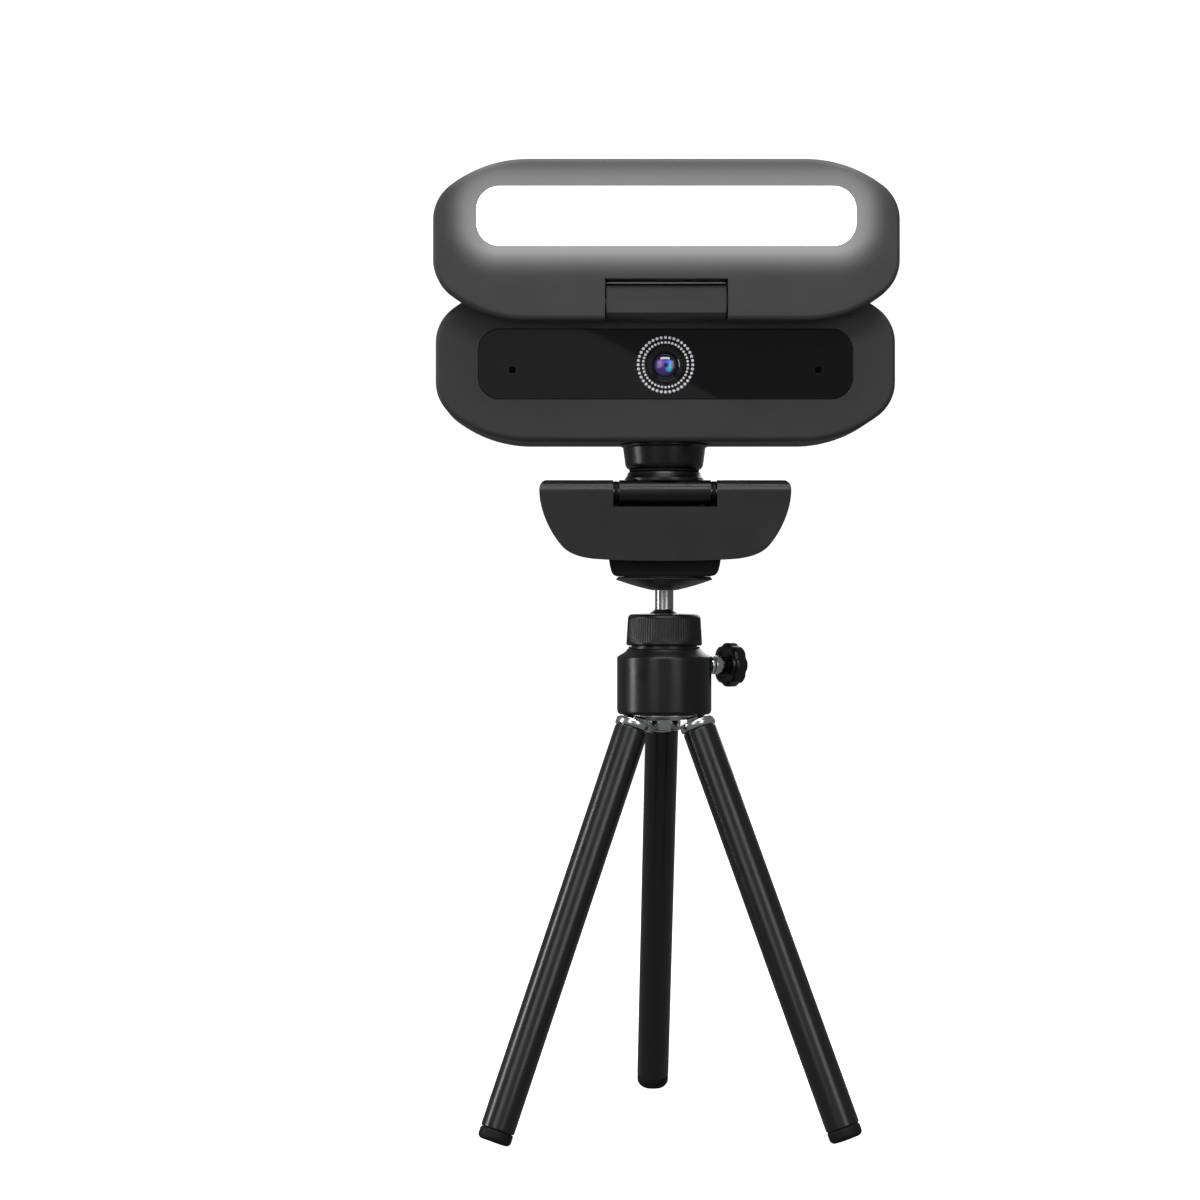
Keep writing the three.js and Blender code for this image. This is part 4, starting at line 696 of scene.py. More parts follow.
def notch_cutter():
    """The space that the hinge block fills in the lid's lower edge."""
    lid = Span("lid_front_frame")
    hinge = Span("hinge_block")
    beyond = 9 * MM
    low = (hinge.x0 - GAP, lid.y0 - beyond, lid.z0 - beyond)
    high = (hinge.x1 + GAP, lid.y1 + beyond, hinge.z1 + GAP)
    return block(low, high)


class WEBCAM_OT_lid_frame(bpy.types.Operator):
    """Front frame of the light lid: dished face, sloped ring and deep window"""

    bl_idname = "webcam.lid_frame"
    bl_label = "Lid front frame"

    def execute(self, context):
        span = Span("lid_front_frame")
        wanted = sizes()
        bm = bmesh.new()
        back = span.y0 + wanted.window_depth + 0.1 * MM
        ring = 2.1 * MM
        loops = [
            window_loop(bm, back, 0),
            window_loop(bm, span.y0 + wanted.dish_depth, ring),
            window_loop(bm, span.y0 + wanted.dish_depth * 0.45, ring + (wanted.dish_width - ring) * 0.42),
            window_loop(bm, span.y0 + LIP, wanted.dish_width),
            *fillet_loops(bm, span, span.y0, span.y1, wanted.lid_fillet),
            window_loop(bm, span.y1 - LIP, LIGHT_CAVITY_GROWTH),
            window_loop(bm, back + LIP, LIGHT_CAVITY_GROWTH),
        ]
        bridge(bm, *loops, loops[0])
        face_out(bm)
        bm = carve(bm, notch_cutter())
        piece("lid_frame", bm, lid_plastic_painted_glow(), "light_lid", ["lid_front_frame"],
              edge=0.12 * MM)
        return {"FINISHED"}


class WEBCAM_OT_lid_back(bpy.types.Operator):
    """Rear shell of the light lid, a shallow tray with a big soft rim"""

    bl_idname = "webcam.lid_back"
    bl_label = "Lid rear shell"

    def execute(self, context):
        span = Span("lid_rear_shell")
        wanted = sizes()
        bm = bmesh.new()
        outside = fillet_loops(bm, span, span.y1, span.y0, wanted.lid_rear_fillet, 9)
        inner = window_loop(bm, span.y0 + LIP, LIGHT_CAVITY_GROWTH)
        floor = window_loop(bm, span.y1 - wanted.wall, LIGHT_CAVITY_GROWTH)
        skin(bm, *outside, inner, floor)
        bm = carve(bm, notch_cutter())
        piece("lid_back", bm, lid_plastic_painted_glow(), "light_lid", ["lid_rear_shell"])
        return {"FINISHED"}


class WEBCAM_OT_diffuser(bpy.types.Operator):
    """Opal sheet behind the lid's window, lit from behind"""

    bl_idname = "webcam.diffuser"
    bl_label = "Light diffuser"

    def execute(self, context):
        span = Span("light_diffuser")
        bm = bmesh.new()
        middle = (span.x, span.z)
        radius = WINDOW_RADIUS + DIFFUSER_LAP
        front = panel_loop(bm, span.y0, middle, span.half_x, span.half_z, radius)
        back = panel_loop(bm, span.y1, middle, span.half_x, span.half_z, radius)
        skin(bm, front, back)
        piece("diffuser_sheet", bm, lit_diffuser(), "light_lid", ["light_diffuser"])
        return {"FINISHED"}


class WEBCAM_OT_hinge(bpy.types.Operator):
    """Hinge block in the lid's notch, with the bright strip over it"""

    bl_idname = "webcam.hinge"
    bl_label = "Lid hinge block"

    def execute(self, context):
        span = Span("hinge_block")
        pivot = joint_point("lid_hinge")
        radius = 4.65 * MM
        face = 3.4 * MM
        face_top = 2.7 * MM
        top = 3.4 * MM
        back = Span("camera_front_shell").y0 - 0.15 * MM
        low_angle = 180 + math.degrees(math.acos(face / radius))
        points = [
            (back, pivot.z + top),
            (pivot.y - face + 0.7 * MM, pivot.z + top),
            (pivot.y - face, pivot.z + face_top),
            *arc((pivot.y, pivot.z), radius, low_angle, 270, 10),
            (back, pivot.z - radius),
        ]
        bm = prism(points, "X", span.x0, span.x1)
        rear = block((span.x0, back - 1.2 * MM, pivot.z), (span.x1, back, pivot.z + radius - 0.1 * MM))
        tongue = block(
            (-10 * MM, back - 0.5 * MM, pivot.z - 2.5 * MM), (10 * MM, span.y1, pivot.z + 2.5 * MM),
        )
        bore = bar(1.15 * MM, (span.x0 - MM, pivot.y, pivot.z), (span.x1 + MM, pivot.y, pivot.z), 32)
        bm = carve(weld(bm, rear, tongue), bore)
        piece("hinge_body", bm, hinge_plastic(), "camera", ["hinge_block"],
              edge=0.14 * MM, angle=20)
        strip_top = pivot.z + 4.45 * MM
        strip = block((span.x0 + 0.1 * MM, pivot.y - 1.3 * MM, strip_top - 0.42 * MM),
                      (span.x1 - 0.1 * MM, back - 1.3 * MM, strip_top))
        piece("hinge_strip", strip, hinge_bright(), "camera", edge=0.08 * MM)
        return {"FINISHED"}


@finish_once
def hinge_plastic():
    return moulded("hinge plastic", colours().lid, 0.5, level=0.35)


@finish_once
def hinge_bright():
    return metal("hinge strip", (0.5, 0.5, 0.51), 0.3)


# ---------------------------------------------------------------- camera body

class WEBCAM_OT_body_front(bpy.types.Operator):
    """Front shell: filleted rim, recess for the face panel, hollows for the lid's swing"""

    bl_idname = "webcam.body_front"
    bl_label = "Camera front shell"

    def execute(self, context):
        span = Span("camera_front_shell")
        panel = Span("face_panel")
        wanted = sizes()
        play = 0.15 * MM
        recess = (panel.half_x + play, panel.half_z + play, 5.45 * MM)
        middle = (panel.x, panel.z)
        inner_y = span.y0 + 2.6 * MM
        bm = bmesh.new()
        floor = panel_loop(bm, panel.y1 + play, middle, *recess)
        rim = panel_loop(bm, span.y0 + LIP, middle, *recess)
        outside = fillet_loops(bm, span, span.y0, span.y1, wanted.front_fillet)
        inner = body_loop(bm, span, span.y1 - LIP, wanted.wall)
        inner_floor = body_loop(bm, span, inner_y, wanted.wall)
        skin(bm, floor, rim, *outside, inner, inner_floor)
        ring = Span("lens_ring")
        ahead = (ring.x, span.y0 - MM, ring.z)
        cutters = [bar(ring.half_x + 0.3 * MM, ahead, (ring.x, inner_y + MM, ring.z))]
        for side in ("left", "right"):
            capsule = Span(f"microphone_{side}")
            cutters.append(bar(0.9 * MM, (capsule.x, span.y0 - MM, capsule.z),
                               (capsule.x, inner_y + MM, capsule.z), 24))
        pivot = joint_point("lid_hinge")
        hinge = Span("hinge_block")
        for start, end in ((hinge.x0, -span.half_x), (hinge.x1, span.half_x)):
            cutters.append(bar(6.55 * MM, (start, pivot.y, pivot.z), (end * 0.995, pivot.y, pivot.z), 96))
        cutters.append(bar(5.2 * MM, (AXIS.x, AXIS.y, span.z0 - MM), (AXIS.x, AXIS.y, span.z0 + 4 * MM)))
        piece("body_front", carve(bm, *cutters), body_plastic(), "camera", ["camera_front_shell"],
              edge=0.12 * MM)
        return {"FINISHED"}


class WEBCAM_OT_body_rear(bpy.types.Operator):
    """Rear shell with the parting line, a shallow framed field and the socket's inlet"""

    bl_idname = "webcam.body_rear"
    bl_label = "Camera rear shell"

    def execute(self, context):
        span = Span("camera_rear_shell")
        wanted = sizes()
        bm = bmesh.new()
        step = 0.35 * MM
        field = 7 * MM
        outside = fillet_loops(bm, span, span.y1, span.y0, wanted.rear_fillet, 8)
        frame_rim = body_loop(bm, span, span.y1 - LIP, field)
        frame_floor = body_loop(bm, span, span.y1 - step, field + step)
        inner = body_loop(bm, span, span.y0 + LIP, wanted.wall)
        inner_floor = body_loop(bm, span, span.y1 - wanted.wall, wanted.wall)
        skin(bm, frame_floor, frame_rim, *outside, inner, inner_floor)
        socket = Span("usb_socket")
        inlet = bmesh.new()
        grow = 0.3 * MM
        radius = socket.half_z + grow - 0.01 * MM
        ends = [panel_loop(inlet, y, (socket.x, socket.z), socket.half_x + grow, socket.half_z + grow, radius)
                for y in (span.y1 - 4 * MM, span.y1 + MM)]
        skin(inlet, *ends)
        stud = bar(5.2 * MM, (AXIS.x, AXIS.y, span.z0 - MM), (AXIS.x, AXIS.y, span.z0 + 4 * MM))
        piece("body_rear", carve(bm, inlet, stud), body_plastic(), "camera", ["camera_rear_shell"],
              edge=0.12 * MM)
        return {"FINISHED"}


class WEBCAM_OT_face(bpy.types.Operator):
    """Glossy face panel with its lens and microphone holes, and two rings of printed dots"""

    bl_idname = "webcam.face"
    bl_label = "Face panel and dots"

    def execute(self, context):
        span = Span("face_panel")
        ring = Span("lens_ring")
        bm = bmesh.new()
        size = ((span.x, span.z), span.half_x, span.half_z, 5.3 * MM)
        front_y = span.y0 + 0.06 * MM
        front = panel_loop(bm, front_y, *size)
        back = panel_loop(bm, span.y1, *size)
        skin(bm, front, back)
        ahead = (ring.x, span.y0 - MM, ring.z)
        cutters = [bar(ring.half_x + 0.12 * MM, ahead, (ring.x, span.y1 + MM, ring.z), 96)]
        for side in ("left", "right"):
            capsule = Span(f"microphone_{side}")
            cutters.append(bar(0.9 * MM, (capsule.x, span.y0 - MM, capsule.z),
                               (capsule.x, span.y1 + MM, capsule.z), 32))
        piece("front_panel", carve(bm, *cutters), panel_gloss(), "camera", ["face_panel"],
              edge=0.1 * MM)
        dots = bmesh.new()
        count = sizes().dot_count
        for reach, dot in ((6.7 * MM, 0.375 * MM), (5.5 * MM, 0.31 * MM)):
            for i in range(count):
                angle = 2 * math.pi * i / count
                x = ring.x + reach * math.sin(angle)
                z = ring.z + reach * math.cos(angle)
                place = Matrix.Translation((x, front_y - 0.005 * MM, z))
                place = place @ Matrix.Rotation(math.pi / 2, 4, "X")
                bmesh.ops.create_cone(
                    dots, cap_ends=True, segments=14, radius1=dot, radius2=dot, depth=0.03 * MM, matrix=place,
                )
        piece("panel_dots", dots, printed_dots_painted_glow(), "camera", edge=0)
        return {"FINISHED"}


def about_lens(profile, steps=96, ring=False):
    """A profile of (radius, distance behind the panel's face) turned about the lens axis."""
    span = Span("lens_ring")
    bm = turned(profile, steps, ring)
    turn = Matrix.Translation((span.x, span.y0, span.z)) @ Matrix.Rotation(-math.pi / 2, 4, "X")
    bmesh.ops.transform(bm, matrix=turn @ Matrix.Translation(-AXIS.to_3d()), verts=bm.verts)
    bmesh.ops.recalc_face_normals(bm, faces=bm.faces)
    return bm


class WEBCAM_OT_lens(bpy.types.Operator):
    """Stepped lens ring and domed coated glass"""

    bl_idname = "webcam.lens"
    bl_label = "Lens"

    def execute(self, context):
        ring = Span("lens_ring")
        glass = Span("lens_glass")
        radius = glass.half_x
        outer = ring.half_x
        stepped = [
            (outer, 0.12 * MM), (radius + 1.1 * MM, 0.12 * MM), (radius + 0.9 * MM, 0.3 * MM),
            (radius + 0.55 * MM, 0.3 * MM), (radius + 0.12 * MM, 0.75 * MM),
            (radius + 0.12 * MM, ring.half_y * 2), (outer, ring.half_y * 2),
        ]
        piece("lens_bezel", about_lens(stepped, ring=True), panel_gloss(), "camera", ["lens_ring"],
              edge=0.06 * MM)
        dome_radius = 6.5 * MM
        sag = dome_radius - math.sqrt(dome_radius ** 2 - radius ** 2)
        front = 0.45 * MM
        half_angle = math.degrees(math.asin(radius / dome_radius))
        dome = arc((0, front + dome_radius), dome_radius, -90, -90 + half_angle, 12)
        back = front + sag + 0.5 * MM
        piece("lens_dome", about_lens([*dome, (radius, back), (0, back)]), lens_coating_painted_reflections(), "camera",
              ["lens_glass"], edge=0)
        return {"FINISHED"}


class WEBCAM_OT_socket(bpy.types.Operator):
    """Socket for the lead in the rear shell: rounded steel mouth with its contact tongue"""

    bl_idname = "webcam.socket"
    bl_label = "Lead socket"

    def execute(self, context):
        span = Span("usb_socket")
        wall = 0.35 * MM
        corner = span.half_z - 0.02 * MM
        middle = (span.x, span.z)
        bm = bmesh.new()
        back = panel_loop(bm, span.y0, middle, span.half_x, span.half_z, corner)
        mouth = panel_loop(bm, span.y1, middle, span.half_x, span.half_z, corner)
        inside = (middle, span.half_x - wall, span.half_z - wall, corner - wall)
        lip = panel_loop(bm, span.y1 - LIP, *inside)
        floor = panel_loop(bm, span.y0 + MM, *inside)
        skin(bm, back, mouth, lip, floor)
        piece("socket_shell", bm, steel(), "camera", ["usb_socket"], edge=0.05 * MM)
        tongue = block((span.x - 3.3 * MM, span.y0 + MM, span.z - 0.35 * MM),
                       (span.x + 3.3 * MM, span.y1 - 0.8 * MM, span.z + 0.35 * MM))
        piece("socket_tongue", tongue, black_plastic(), "camera", edge=0.08 * MM)
        return {"FINISHED"}


# ---------------------------------------------------------------- neck and tilt base

class WEBCAM_OT_neck(bpy.types.Operator):
    """Swivel cup under the camera and the dark washer below it"""

    bl_idname = "webcam.neck"
    bl_label = "Neck cup and washer"

    def execute(self, context):
        span = Span("neck_cup")
        washer = Span("neck_washer")
        flange = Span("camera_front_shell").z0 - FIT
        low = span.z0
        profile = [
            (0, span.z1), (5 * MM, span.z1), (5 * MM, flange), (span.half_x, flange),
            (span.half_x, flange - 0.35 * MM), (span.half_x - 0.55 * MM, flange - 0.6 * MM),
            (10.3 * MM, flange - 0.75 * MM), (10.1 * MM, flange - 2.2 * MM), (9.75 * MM, low + 1.3 * MM),
            (9.6 * MM, low + 0.7 * MM), (9.15 * MM, low + 0.12 * MM), (8.9 * MM, low),
            (1.6 * MM, low), (1.6 * MM, flange + MM), (0, flange + MM),
        ]
        piece("swivel_cup", turned(profile, 128), black_plastic(), "camera", ["neck_cup"],
              edge=0.1 * MM)
        ring = [
            (1.6 * MM, washer.z0), (washer.half_x, washer.z0),
            (washer.half_x, washer.z1), (1.6 * MM, washer.z1),
        ]
        piece("swivel_washer", turned(ring, ring=True), rubber(), "tilt", ["neck_washer"],
              edge=0.05 * MM)
        return {"FINISHED"}


class WEBCAM_OT_tilt_base(bpy.types.Operator):
    """Flared collar, its arm, and the hinge barrel in the clip's notch"""

    bl_idname = "webcam.tilt_base"
    bl_label = "Tilt base"

    def execute(self, context):
        span = Span("tilt_base")
        pivot = joint_point("camera_tilt")
        low = pivot.z + 3.6 * MM
        flare = [
            (9.1 * MM + 0.75 * MM * down ** 2, span.z1 - 0.3 * MM - down * 1.5 * MM)
            for down in (0, 0.3, 0.6, 0.8, 1)
        ]
        collar = turned([
            (0, span.z1), (8.6 * MM, span.z1), (8.95 * MM, span.z1 - 0.25 * MM), *flare,
            (9.85 * MM, low - 0.75 * MM), (0, low - 0.75 * MM),
        ], 128)
        arm = block((-9 * MM, pivot.y, pivot.z + MM), (9 * MM, AXIS.y + 6.5 * MM, low - 0.3 * MM))
        arm = soften(arm, 0.8 * MM)
        barrel = bar(3 * MM, (span.x0, pivot.y, pivot.z), (span.x1, pivot.y, pivot.z), 96)
        bm = weld(collar, arm, barrel)
        bores = [
            bar(1.15 * MM, (span.x0 - MM, pivot.y, pivot.z), (span.x1 + MM, pivot.y, pivot.z), 32),
            bar(1.6 * MM, (*AXIS, pivot.z), (*AXIS, span.z1 + MM), 32),
            bar(3.25 * MM, (*AXIS, pivot.z - 2 * MM), (*AXIS, pivot.z + 3 * MM), 48),
        ]
        piece("tilt_arm", carve(bm, *bores), black_plastic(), "tilt", ["tilt_base"],
              edge=0.15 * MM)
        return {"FINISHED"}


# ---------------------------------------------------------------- clip

def wing_outline(span):
    """Half of the plate's outline by Bezier curves, from the top middle to the bottom middle, mirrored."""
    w = span.half_x
    top = span.z1
    low = span.z0
    curves = [
        ((w - 2 * MM, top), (w - 0.9 * MM, top), (w - 0.2 * MM, top - 0.8 * MM), (w, top - 2 * MM)),
        ((w, top - 2 * MM), (w + 0.2 * MM, top - 6.5 * MM), (w - 2 * MM, low + 7.8 * MM),
         (w - 5.4 * MM, low + 3.8 * MM)),
        ((w - 5.4 * MM, low + 3.8 * MM), (w - 7.1 * MM, low + 1.8 * MM), (w - 10 * MM, low + 0.85 * MM),
         (w - 13.5 * MM, low + 0.5 * MM)),
        ((w - 13.5 * MM, low + 0.5 * MM), (w - 19 * MM, low + 0.1 * MM), (6 * MM, low), (0, low)),
    ]
    half = []
    for knots in curves:
        a, b, c, d = (Vector((x, z, 0)) for x, z in knots)
        half.extend((point.x, point.y) for point in interpolate_bezier(a, b, c, d, 14)[:-1])
    return half + [(0.0, low)] + [(-x, z) for x, z in reversed(half)]


class WEBCAM_OT_clip_plate(bpy.types.Operator):
    """Wing-shaped front plate of the clip with its rolled top edge, notch and pad"""

    bl_idname = "webcam.clip_plate"
    bl_label = "Clip front plate"

    def execute(self, context):
        span = Span("clip_front_plate")
        pivot = joint_point("clip_open")
        roll = span.z1 - pivot.z
        thickness = 2.9 * MM
        rear = span.y0 + thickness
        section = [
            (span.y0, span.z0 - MM), (rear, span.z0 - MM), (rear, pivot.z - roll),
            *arc((pivot.y, pivot.z), roll, -89, 180, 40),
        ]
        bm = prism(wing_outline(span), "Y", span.y0 - MM, span.y1 + MM)
        bm = combine(bm, prism(section, "X", span.x0 - MM, span.x1 + MM), "INTERSECT")
        notch_half = 12.8 * MM
        notch = block(
            (-notch_half, span.y0 - 2 * MM, pivot.z - 3.7 * MM),
            (notch_half, span.y1 + 2 * MM, span.z1 + MM),
        )
        bore = bar(1.15 * MM, (-19.2 * MM, pivot.y, pivot.z), (19.2 * MM, pivot.y, pivot.z), 32)
        pad = Span("front_pad")
        pocket = block((pad.x0 - 0.15 * MM, pad.y0 - 0.2 * MM, pad.z0 - 0.15 * MM),
                       (pad.x1 + 0.15 * MM, rear + MM, pad.z1 + 0.15 * MM))
        bm = carve(bm, notch, bore, pocket)
        piece("clip_plate", bm, clip_plastic(), "clip_front", ["clip_front_plate"],
              edge=0.35 * MM, angle=40)
        return {"FINISHED"}


class WEBCAM_OT_clip_leg(bpy.types.Operator):
    """Rear leg of the clip: post, ribs, knuckles and the foot with the threaded boss"""

    bl_idname = "webcam.clip_leg"
    bl_label = "Clip rear leg"

    def execute(self, context):
        span = Span("clip_rear_leg")
        pivot = joint_point("clip_open")
        front = pivot.y + 0.3 * MM
        rear = front + 4.2 * MM
        foot_top = 142.5 * MM
        low = span.z0
        half = span.half_x
        post_top = pivot.z - 3.6 * MM
        side = [
            (half, foot_top), (half - 0.35 * MM, low + 3 * MM), (half - 0.7 * MM, low + 1.5 * MM),
            (half - 1.05 * MM, low + 0.75 * MM), (half - 1.5 * MM, low + 0.28 * MM), (11.75 * MM, low),
        ]
        outline = side + [(-x, z) for x, z in reversed(side)]
        foot = prism(outline, "Y", front, AXIS.y + half + MM)
        print_of_foot = weld(
            block((-half - MM, front, low - MM), (half + MM, AXIS.y, foot_top + MM)),
            bar(half + 0.1 * MM, (*AXIS, low - MM), (*AXIS, foot_top + MM), 128),
        )
        foot = combine(foot, print_of_foot, "INTERSECT")
        ahead = block((-0.03, front - 20 * MM, low - 5 * MM), (0.03, front, foot_top + 9 * MM))
        post = block((-half, front, foot_top - MM), (half, rear, post_top))
        boss = bar(7.4 * MM, (*AXIS, foot_top - MM), (*AXIS, 146 * MM), 96)
        body = weld(carve(weld(foot, boss), ahead), soften(post, 0.9 * MM, segments=4))
        for middle in (-11 * MM, 11 * MM):
            points = [
                (rear - MM, foot_top - MM), (rear + 9 * MM, foot_top - MM), (rear - MM, post_top - 2 * MM),
            ]
            body = weld(body, prism(points, "X", middle - MM, middle + MM))
        for sign in (-1, 1):
            inner = sign * 11.6 * MM
            outer = sign * 12.5 * MM
            knuckle = bar(2.7 * MM, (inner, pivot.y, pivot.z), (outer, pivot.y, pivot.z), 64)
            strut = block(
                (min(inner, outer), front, post_top - 0.8 * MM),
                (max(inner, outer), front + 2.9 * MM, pivot.z),
            )
            body = weld(body, knuckle, strut)
        swing = 3.3 * MM
        inner = 10.2 * MM
        saddle = block((-inner, front, post_top - MM), (inner, rear, pivot.z - 2.2 * MM))
        saddle = carve(saddle, bar(swing, (-half, pivot.y, pivot.z), (half, pivot.y, pivot.z), 96))
        body = weld(body, saddle)
        for low_x, high_x in ((-half + 0.1 * MM, -inner), (inner, half - 0.1 * MM)):
            cheek = block(
                (low_x, pivot.y + swing, post_top - MM), (high_x, rear - 0.05 * MM, pivot.z + 2.8 * MM),
            )
            body = weld(body, soften(cheek, 0.4 * MM))
        insert = Span("thread_insert")
        pad = Span("rear_pad")
        body = carve(
            body,
            bar(insert.half_x + 0.15 * MM, (*AXIS, low - MM), (*AXIS, insert.z1 + 0.15 * MM), 64),
            bar(1.15 * MM, (-0.02, pivot.y, pivot.z), (0.02, pivot.y, pivot.z), 32),
            block((pad.x0 - 0.15 * MM, front - MM, pad.z0 - 0.15 * MM),
                  (pad.x1 + 0.15 * MM, pad.y1 + 0.2 * MM, pad.z1 + 0.15 * MM)),
        )
        piece("clip_back", body, black_painted_shade(), "clip_leg", ["clip_rear_leg"],
              edge=0.2 * MM, angle=40)
        return {"FINISHED"}


# painted shade: a darker, less glossy copy of the black plastic, used for the clip's rear leg and the
# microphones
@finish_once
def black_painted_shade():
    return moulded("deep black plastic", scale_shade(colours().black, 0.35), 0.5, level=0.2)


class WEBCAM_OT_clip_pin(bpy.types.Operator):
    """Pin through the clip's barrel, with domed ends"""

    bl_idname = "webcam.clip_pin"
    bl_label = "Clip pin"

    def execute(self, context):
        span = Span("clip_pin")
        pin = bar(span.half_z, (span.x0, span.y, span.z), (span.x1, span.y, span.z), 40)
        piece("hinge_rod", soften(pin, 0.3 * MM, segments=4), dark_steel(), "clip_leg", ["clip_pin"],
              edge=0)
        return {"FINISHED"}


# ---------------------------------------------------------------- ball head

def modulate(bm, centre, depth, count, low, high, power=1.0):
    """Presses count grooves into the side of a turned piece, between heights low and high."""
    for vert in bm.verts:
        away = vert.co.to_2d() - centre
        if not low <= vert.co.z <= high or away.length < MM:
            continue
        wave = (1 - math.cos(count * math.atan2(away.y, away.x))) / 2
        away *= 1 - depth * wave ** power / away.length
        vert.co.x = centre.x + away.x
        vert.co.y = centre.y + away.y


class WEBCAM_OT_mount_plate(bpy.types.Operator):
    """Round plate under the clip with a fine-toothed rim and a rubber face"""

    bl_idname = "webcam.mount_plate"
    bl_label = "Mount plate"

    def execute(self, context):
        span = Span("mount_plate")
        pad = Span("plate_pad")
        outer = span.half_x
        rim_low = span.z1 - 0.5 * MM
        bore = 2.3 * MM + 0.12 * MM
        profile = [
            (bore, span.z0), (2.9 * MM, span.z0), (3.4 * MM, span.z0 + 0.08 * MM),
            (5.2 * MM, span.z0 + 0.5 * MM), (7.6 * MM, span.z0 + 1.15 * MM), (9.8 * MM, span.z0 + 1.85 * MM),
            (outer - 0.9 * MM, rim_low - 0.2 * MM), (outer - 0.35 * MM, rim_low - 0.02 * MM),
            (outer, rim_low + 0.14 * MM), (outer, rim_low + 0.22 * MM), (outer, span.z1 - 0.1 * MM),
            (outer - 0.1 * MM, span.z1), (bore, span.z1),
        ]
        teeth = sizes().rim_teeth
        bm = turned(profile, teeth * 4, ring=True)
        modulate(bm, AXIS, 0.2 * MM, teeth, rim_low, span.z1 - 0.1 * MM)
        piece("knurled_plate", bm, black_plastic(), "ball_stem", ["mount_plate"], edge=0)
        reach = outer - 0.35 * MM
        hole = 3.25 * MM
        low = pad.z0 - 0.03 * MM
        top = [
            (hole, low), (reach, low), (reach, pad.z1 - 0.1 * MM), (reach - 0.1 * MM, pad.z1),
            (hole, pad.z1),
        ]
        piece("plate_face", turned(top, ring=True), rubber(), "ball_stem", ["plate_pad"], edge=0)
        return {"FINISHED"}


class WEBCAM_OT_ball(bpy.types.Operator):
    """Ball with its polished stem and the threaded stud above the plate"""

    bl_idname = "webcam.ball"
    bl_label = "Ball and stem"

    def execute(self, context):
        span = Span("ball_stud")
        centre = joint_point("ball_tilt").z
        radius = 6 * MM
        stem = 2.3 * MM
        foot = math.degrees(math.acos(stem / radius))
        plate_top = Span("mount_plate").z1 + 0.05 * MM
        thread = 3.1 * MM
        pitch = 0.8 * MM
        profile = arc((0, centre), radius, -90, foot - 4, 40)
        profile += [(stem + 0.12 * MM, profile[-1][1] + 0.25 * MM), (stem, profile[-1][1] + 0.6 * MM)]
        profile += [(stem, plate_top), (thread, plate_top), (thread, plate_top + 0.5 * MM)]
        level = plate_top + 0.5 * MM
        while level + pitch < span.z1 - 0.4 * MM:
            profile += [(thread - 0.42 * MM, level + pitch / 2), (thread, level + pitch)]
            level += pitch
        profile += [(thread - 0.45 * MM, span.z1), (0, span.z1)]
        piece("ball_and_stem", turned(profile, 96), steel(), "ball_stem", ["ball_stud"], edge=0)
        return {"FINISHED"}


class WEBCAM_OT_cap(bpy.types.Operator):
    """Clamp cap over the ball: fluted side, rounded shoulder, round opening"""

    bl_idname = "webcam.cap"
    bl_label = "Ball cap"

    def execute(self, context):
        span = Span("ball_cap")
        flutes = sizes().cap_flutes
        low_radius = span.half_x
        top_radius = 9.1 * MM
        side_top = span.z1 - 1.25 * MM
        grip_low = span.z0 + 0.75 * MM
        wall = 5.5 * MM
        opening = 5 * MM
        inner = 8.35 * MM

        def side(z):
            return low_radius + (top_radius - low_radius) * (z - span.z0) / (side_top - span.z0)

        profile = [(inner, span.z0), (low_radius - 0.35 * MM, span.z0), (low_radius, span.z0 + 0.3 * MM)]
        levels = (
            grip_low, grip_low + 0.35 * MM, span.z0 + 2.5 * MM, span.z0 + 4.5 * MM,
            side_top - 0.35 * MM, side_top,
        )
        profile += [(side(z), z) for z in levels]
        profile += arc((top_radius - 1.1 * MM, side_top), 1.1 * MM, 12, 80, 7)
        profile += [
            (7.2 * MM, span.z1 - 0.08 * MM), (6.2 * MM, span.z1 - 0.02 * MM),
            (opening + 0.35 * MM, span.z1), (opening, span.z1 - 0.3 * MM),
            (opening, span.z0 + wall + 0.6 * MM), (opening + 0.7 * MM, span.z0 + wall),
            (inner, span.z0 + wall),
        ]
        bm = turned(profile, flutes * 4, ring=True)
        modulate(bm, AXIS, 0.16 * MM, flutes, grip_low + 0.1 * MM, side_top + 0.05 * MM, 1.6)
        piece("clamp_cap", bm, black_plastic(), "tripod_head", ["ball_cap"], edge=0)
        return {"FINISHED"}


LOCK_AZIMUTH = math.radians(33)


def about_lock(bm):
    """Turns a piece made about the tripod's axis onto the lock screw's axis, its height the distance out."""
    centre = joint_point("lock_knob_turn")
    place = (
        Matrix.Translation((AXIS.x, AXIS.y, centre.z)) @ Matrix.Rotation(LOCK_AZIMUTH, 4, "Z")
        @ Matrix.Rotation(math.pi / 2, 4, "Y")
    )
    bmesh.ops.transform(bm, matrix=place @ Matrix.Translation(-AXIS.to_3d()), verts=bm.verts)
    return bm


BOSS_REACH = 12 * MM
SLEEVE_START = BOSS_REACH + 1.3 * MM
KNOB_REACH = 18.6 * MM
KNOB_THICKNESS = 3.6 * MM
THREAD_RADIUS = 1.5 * MM


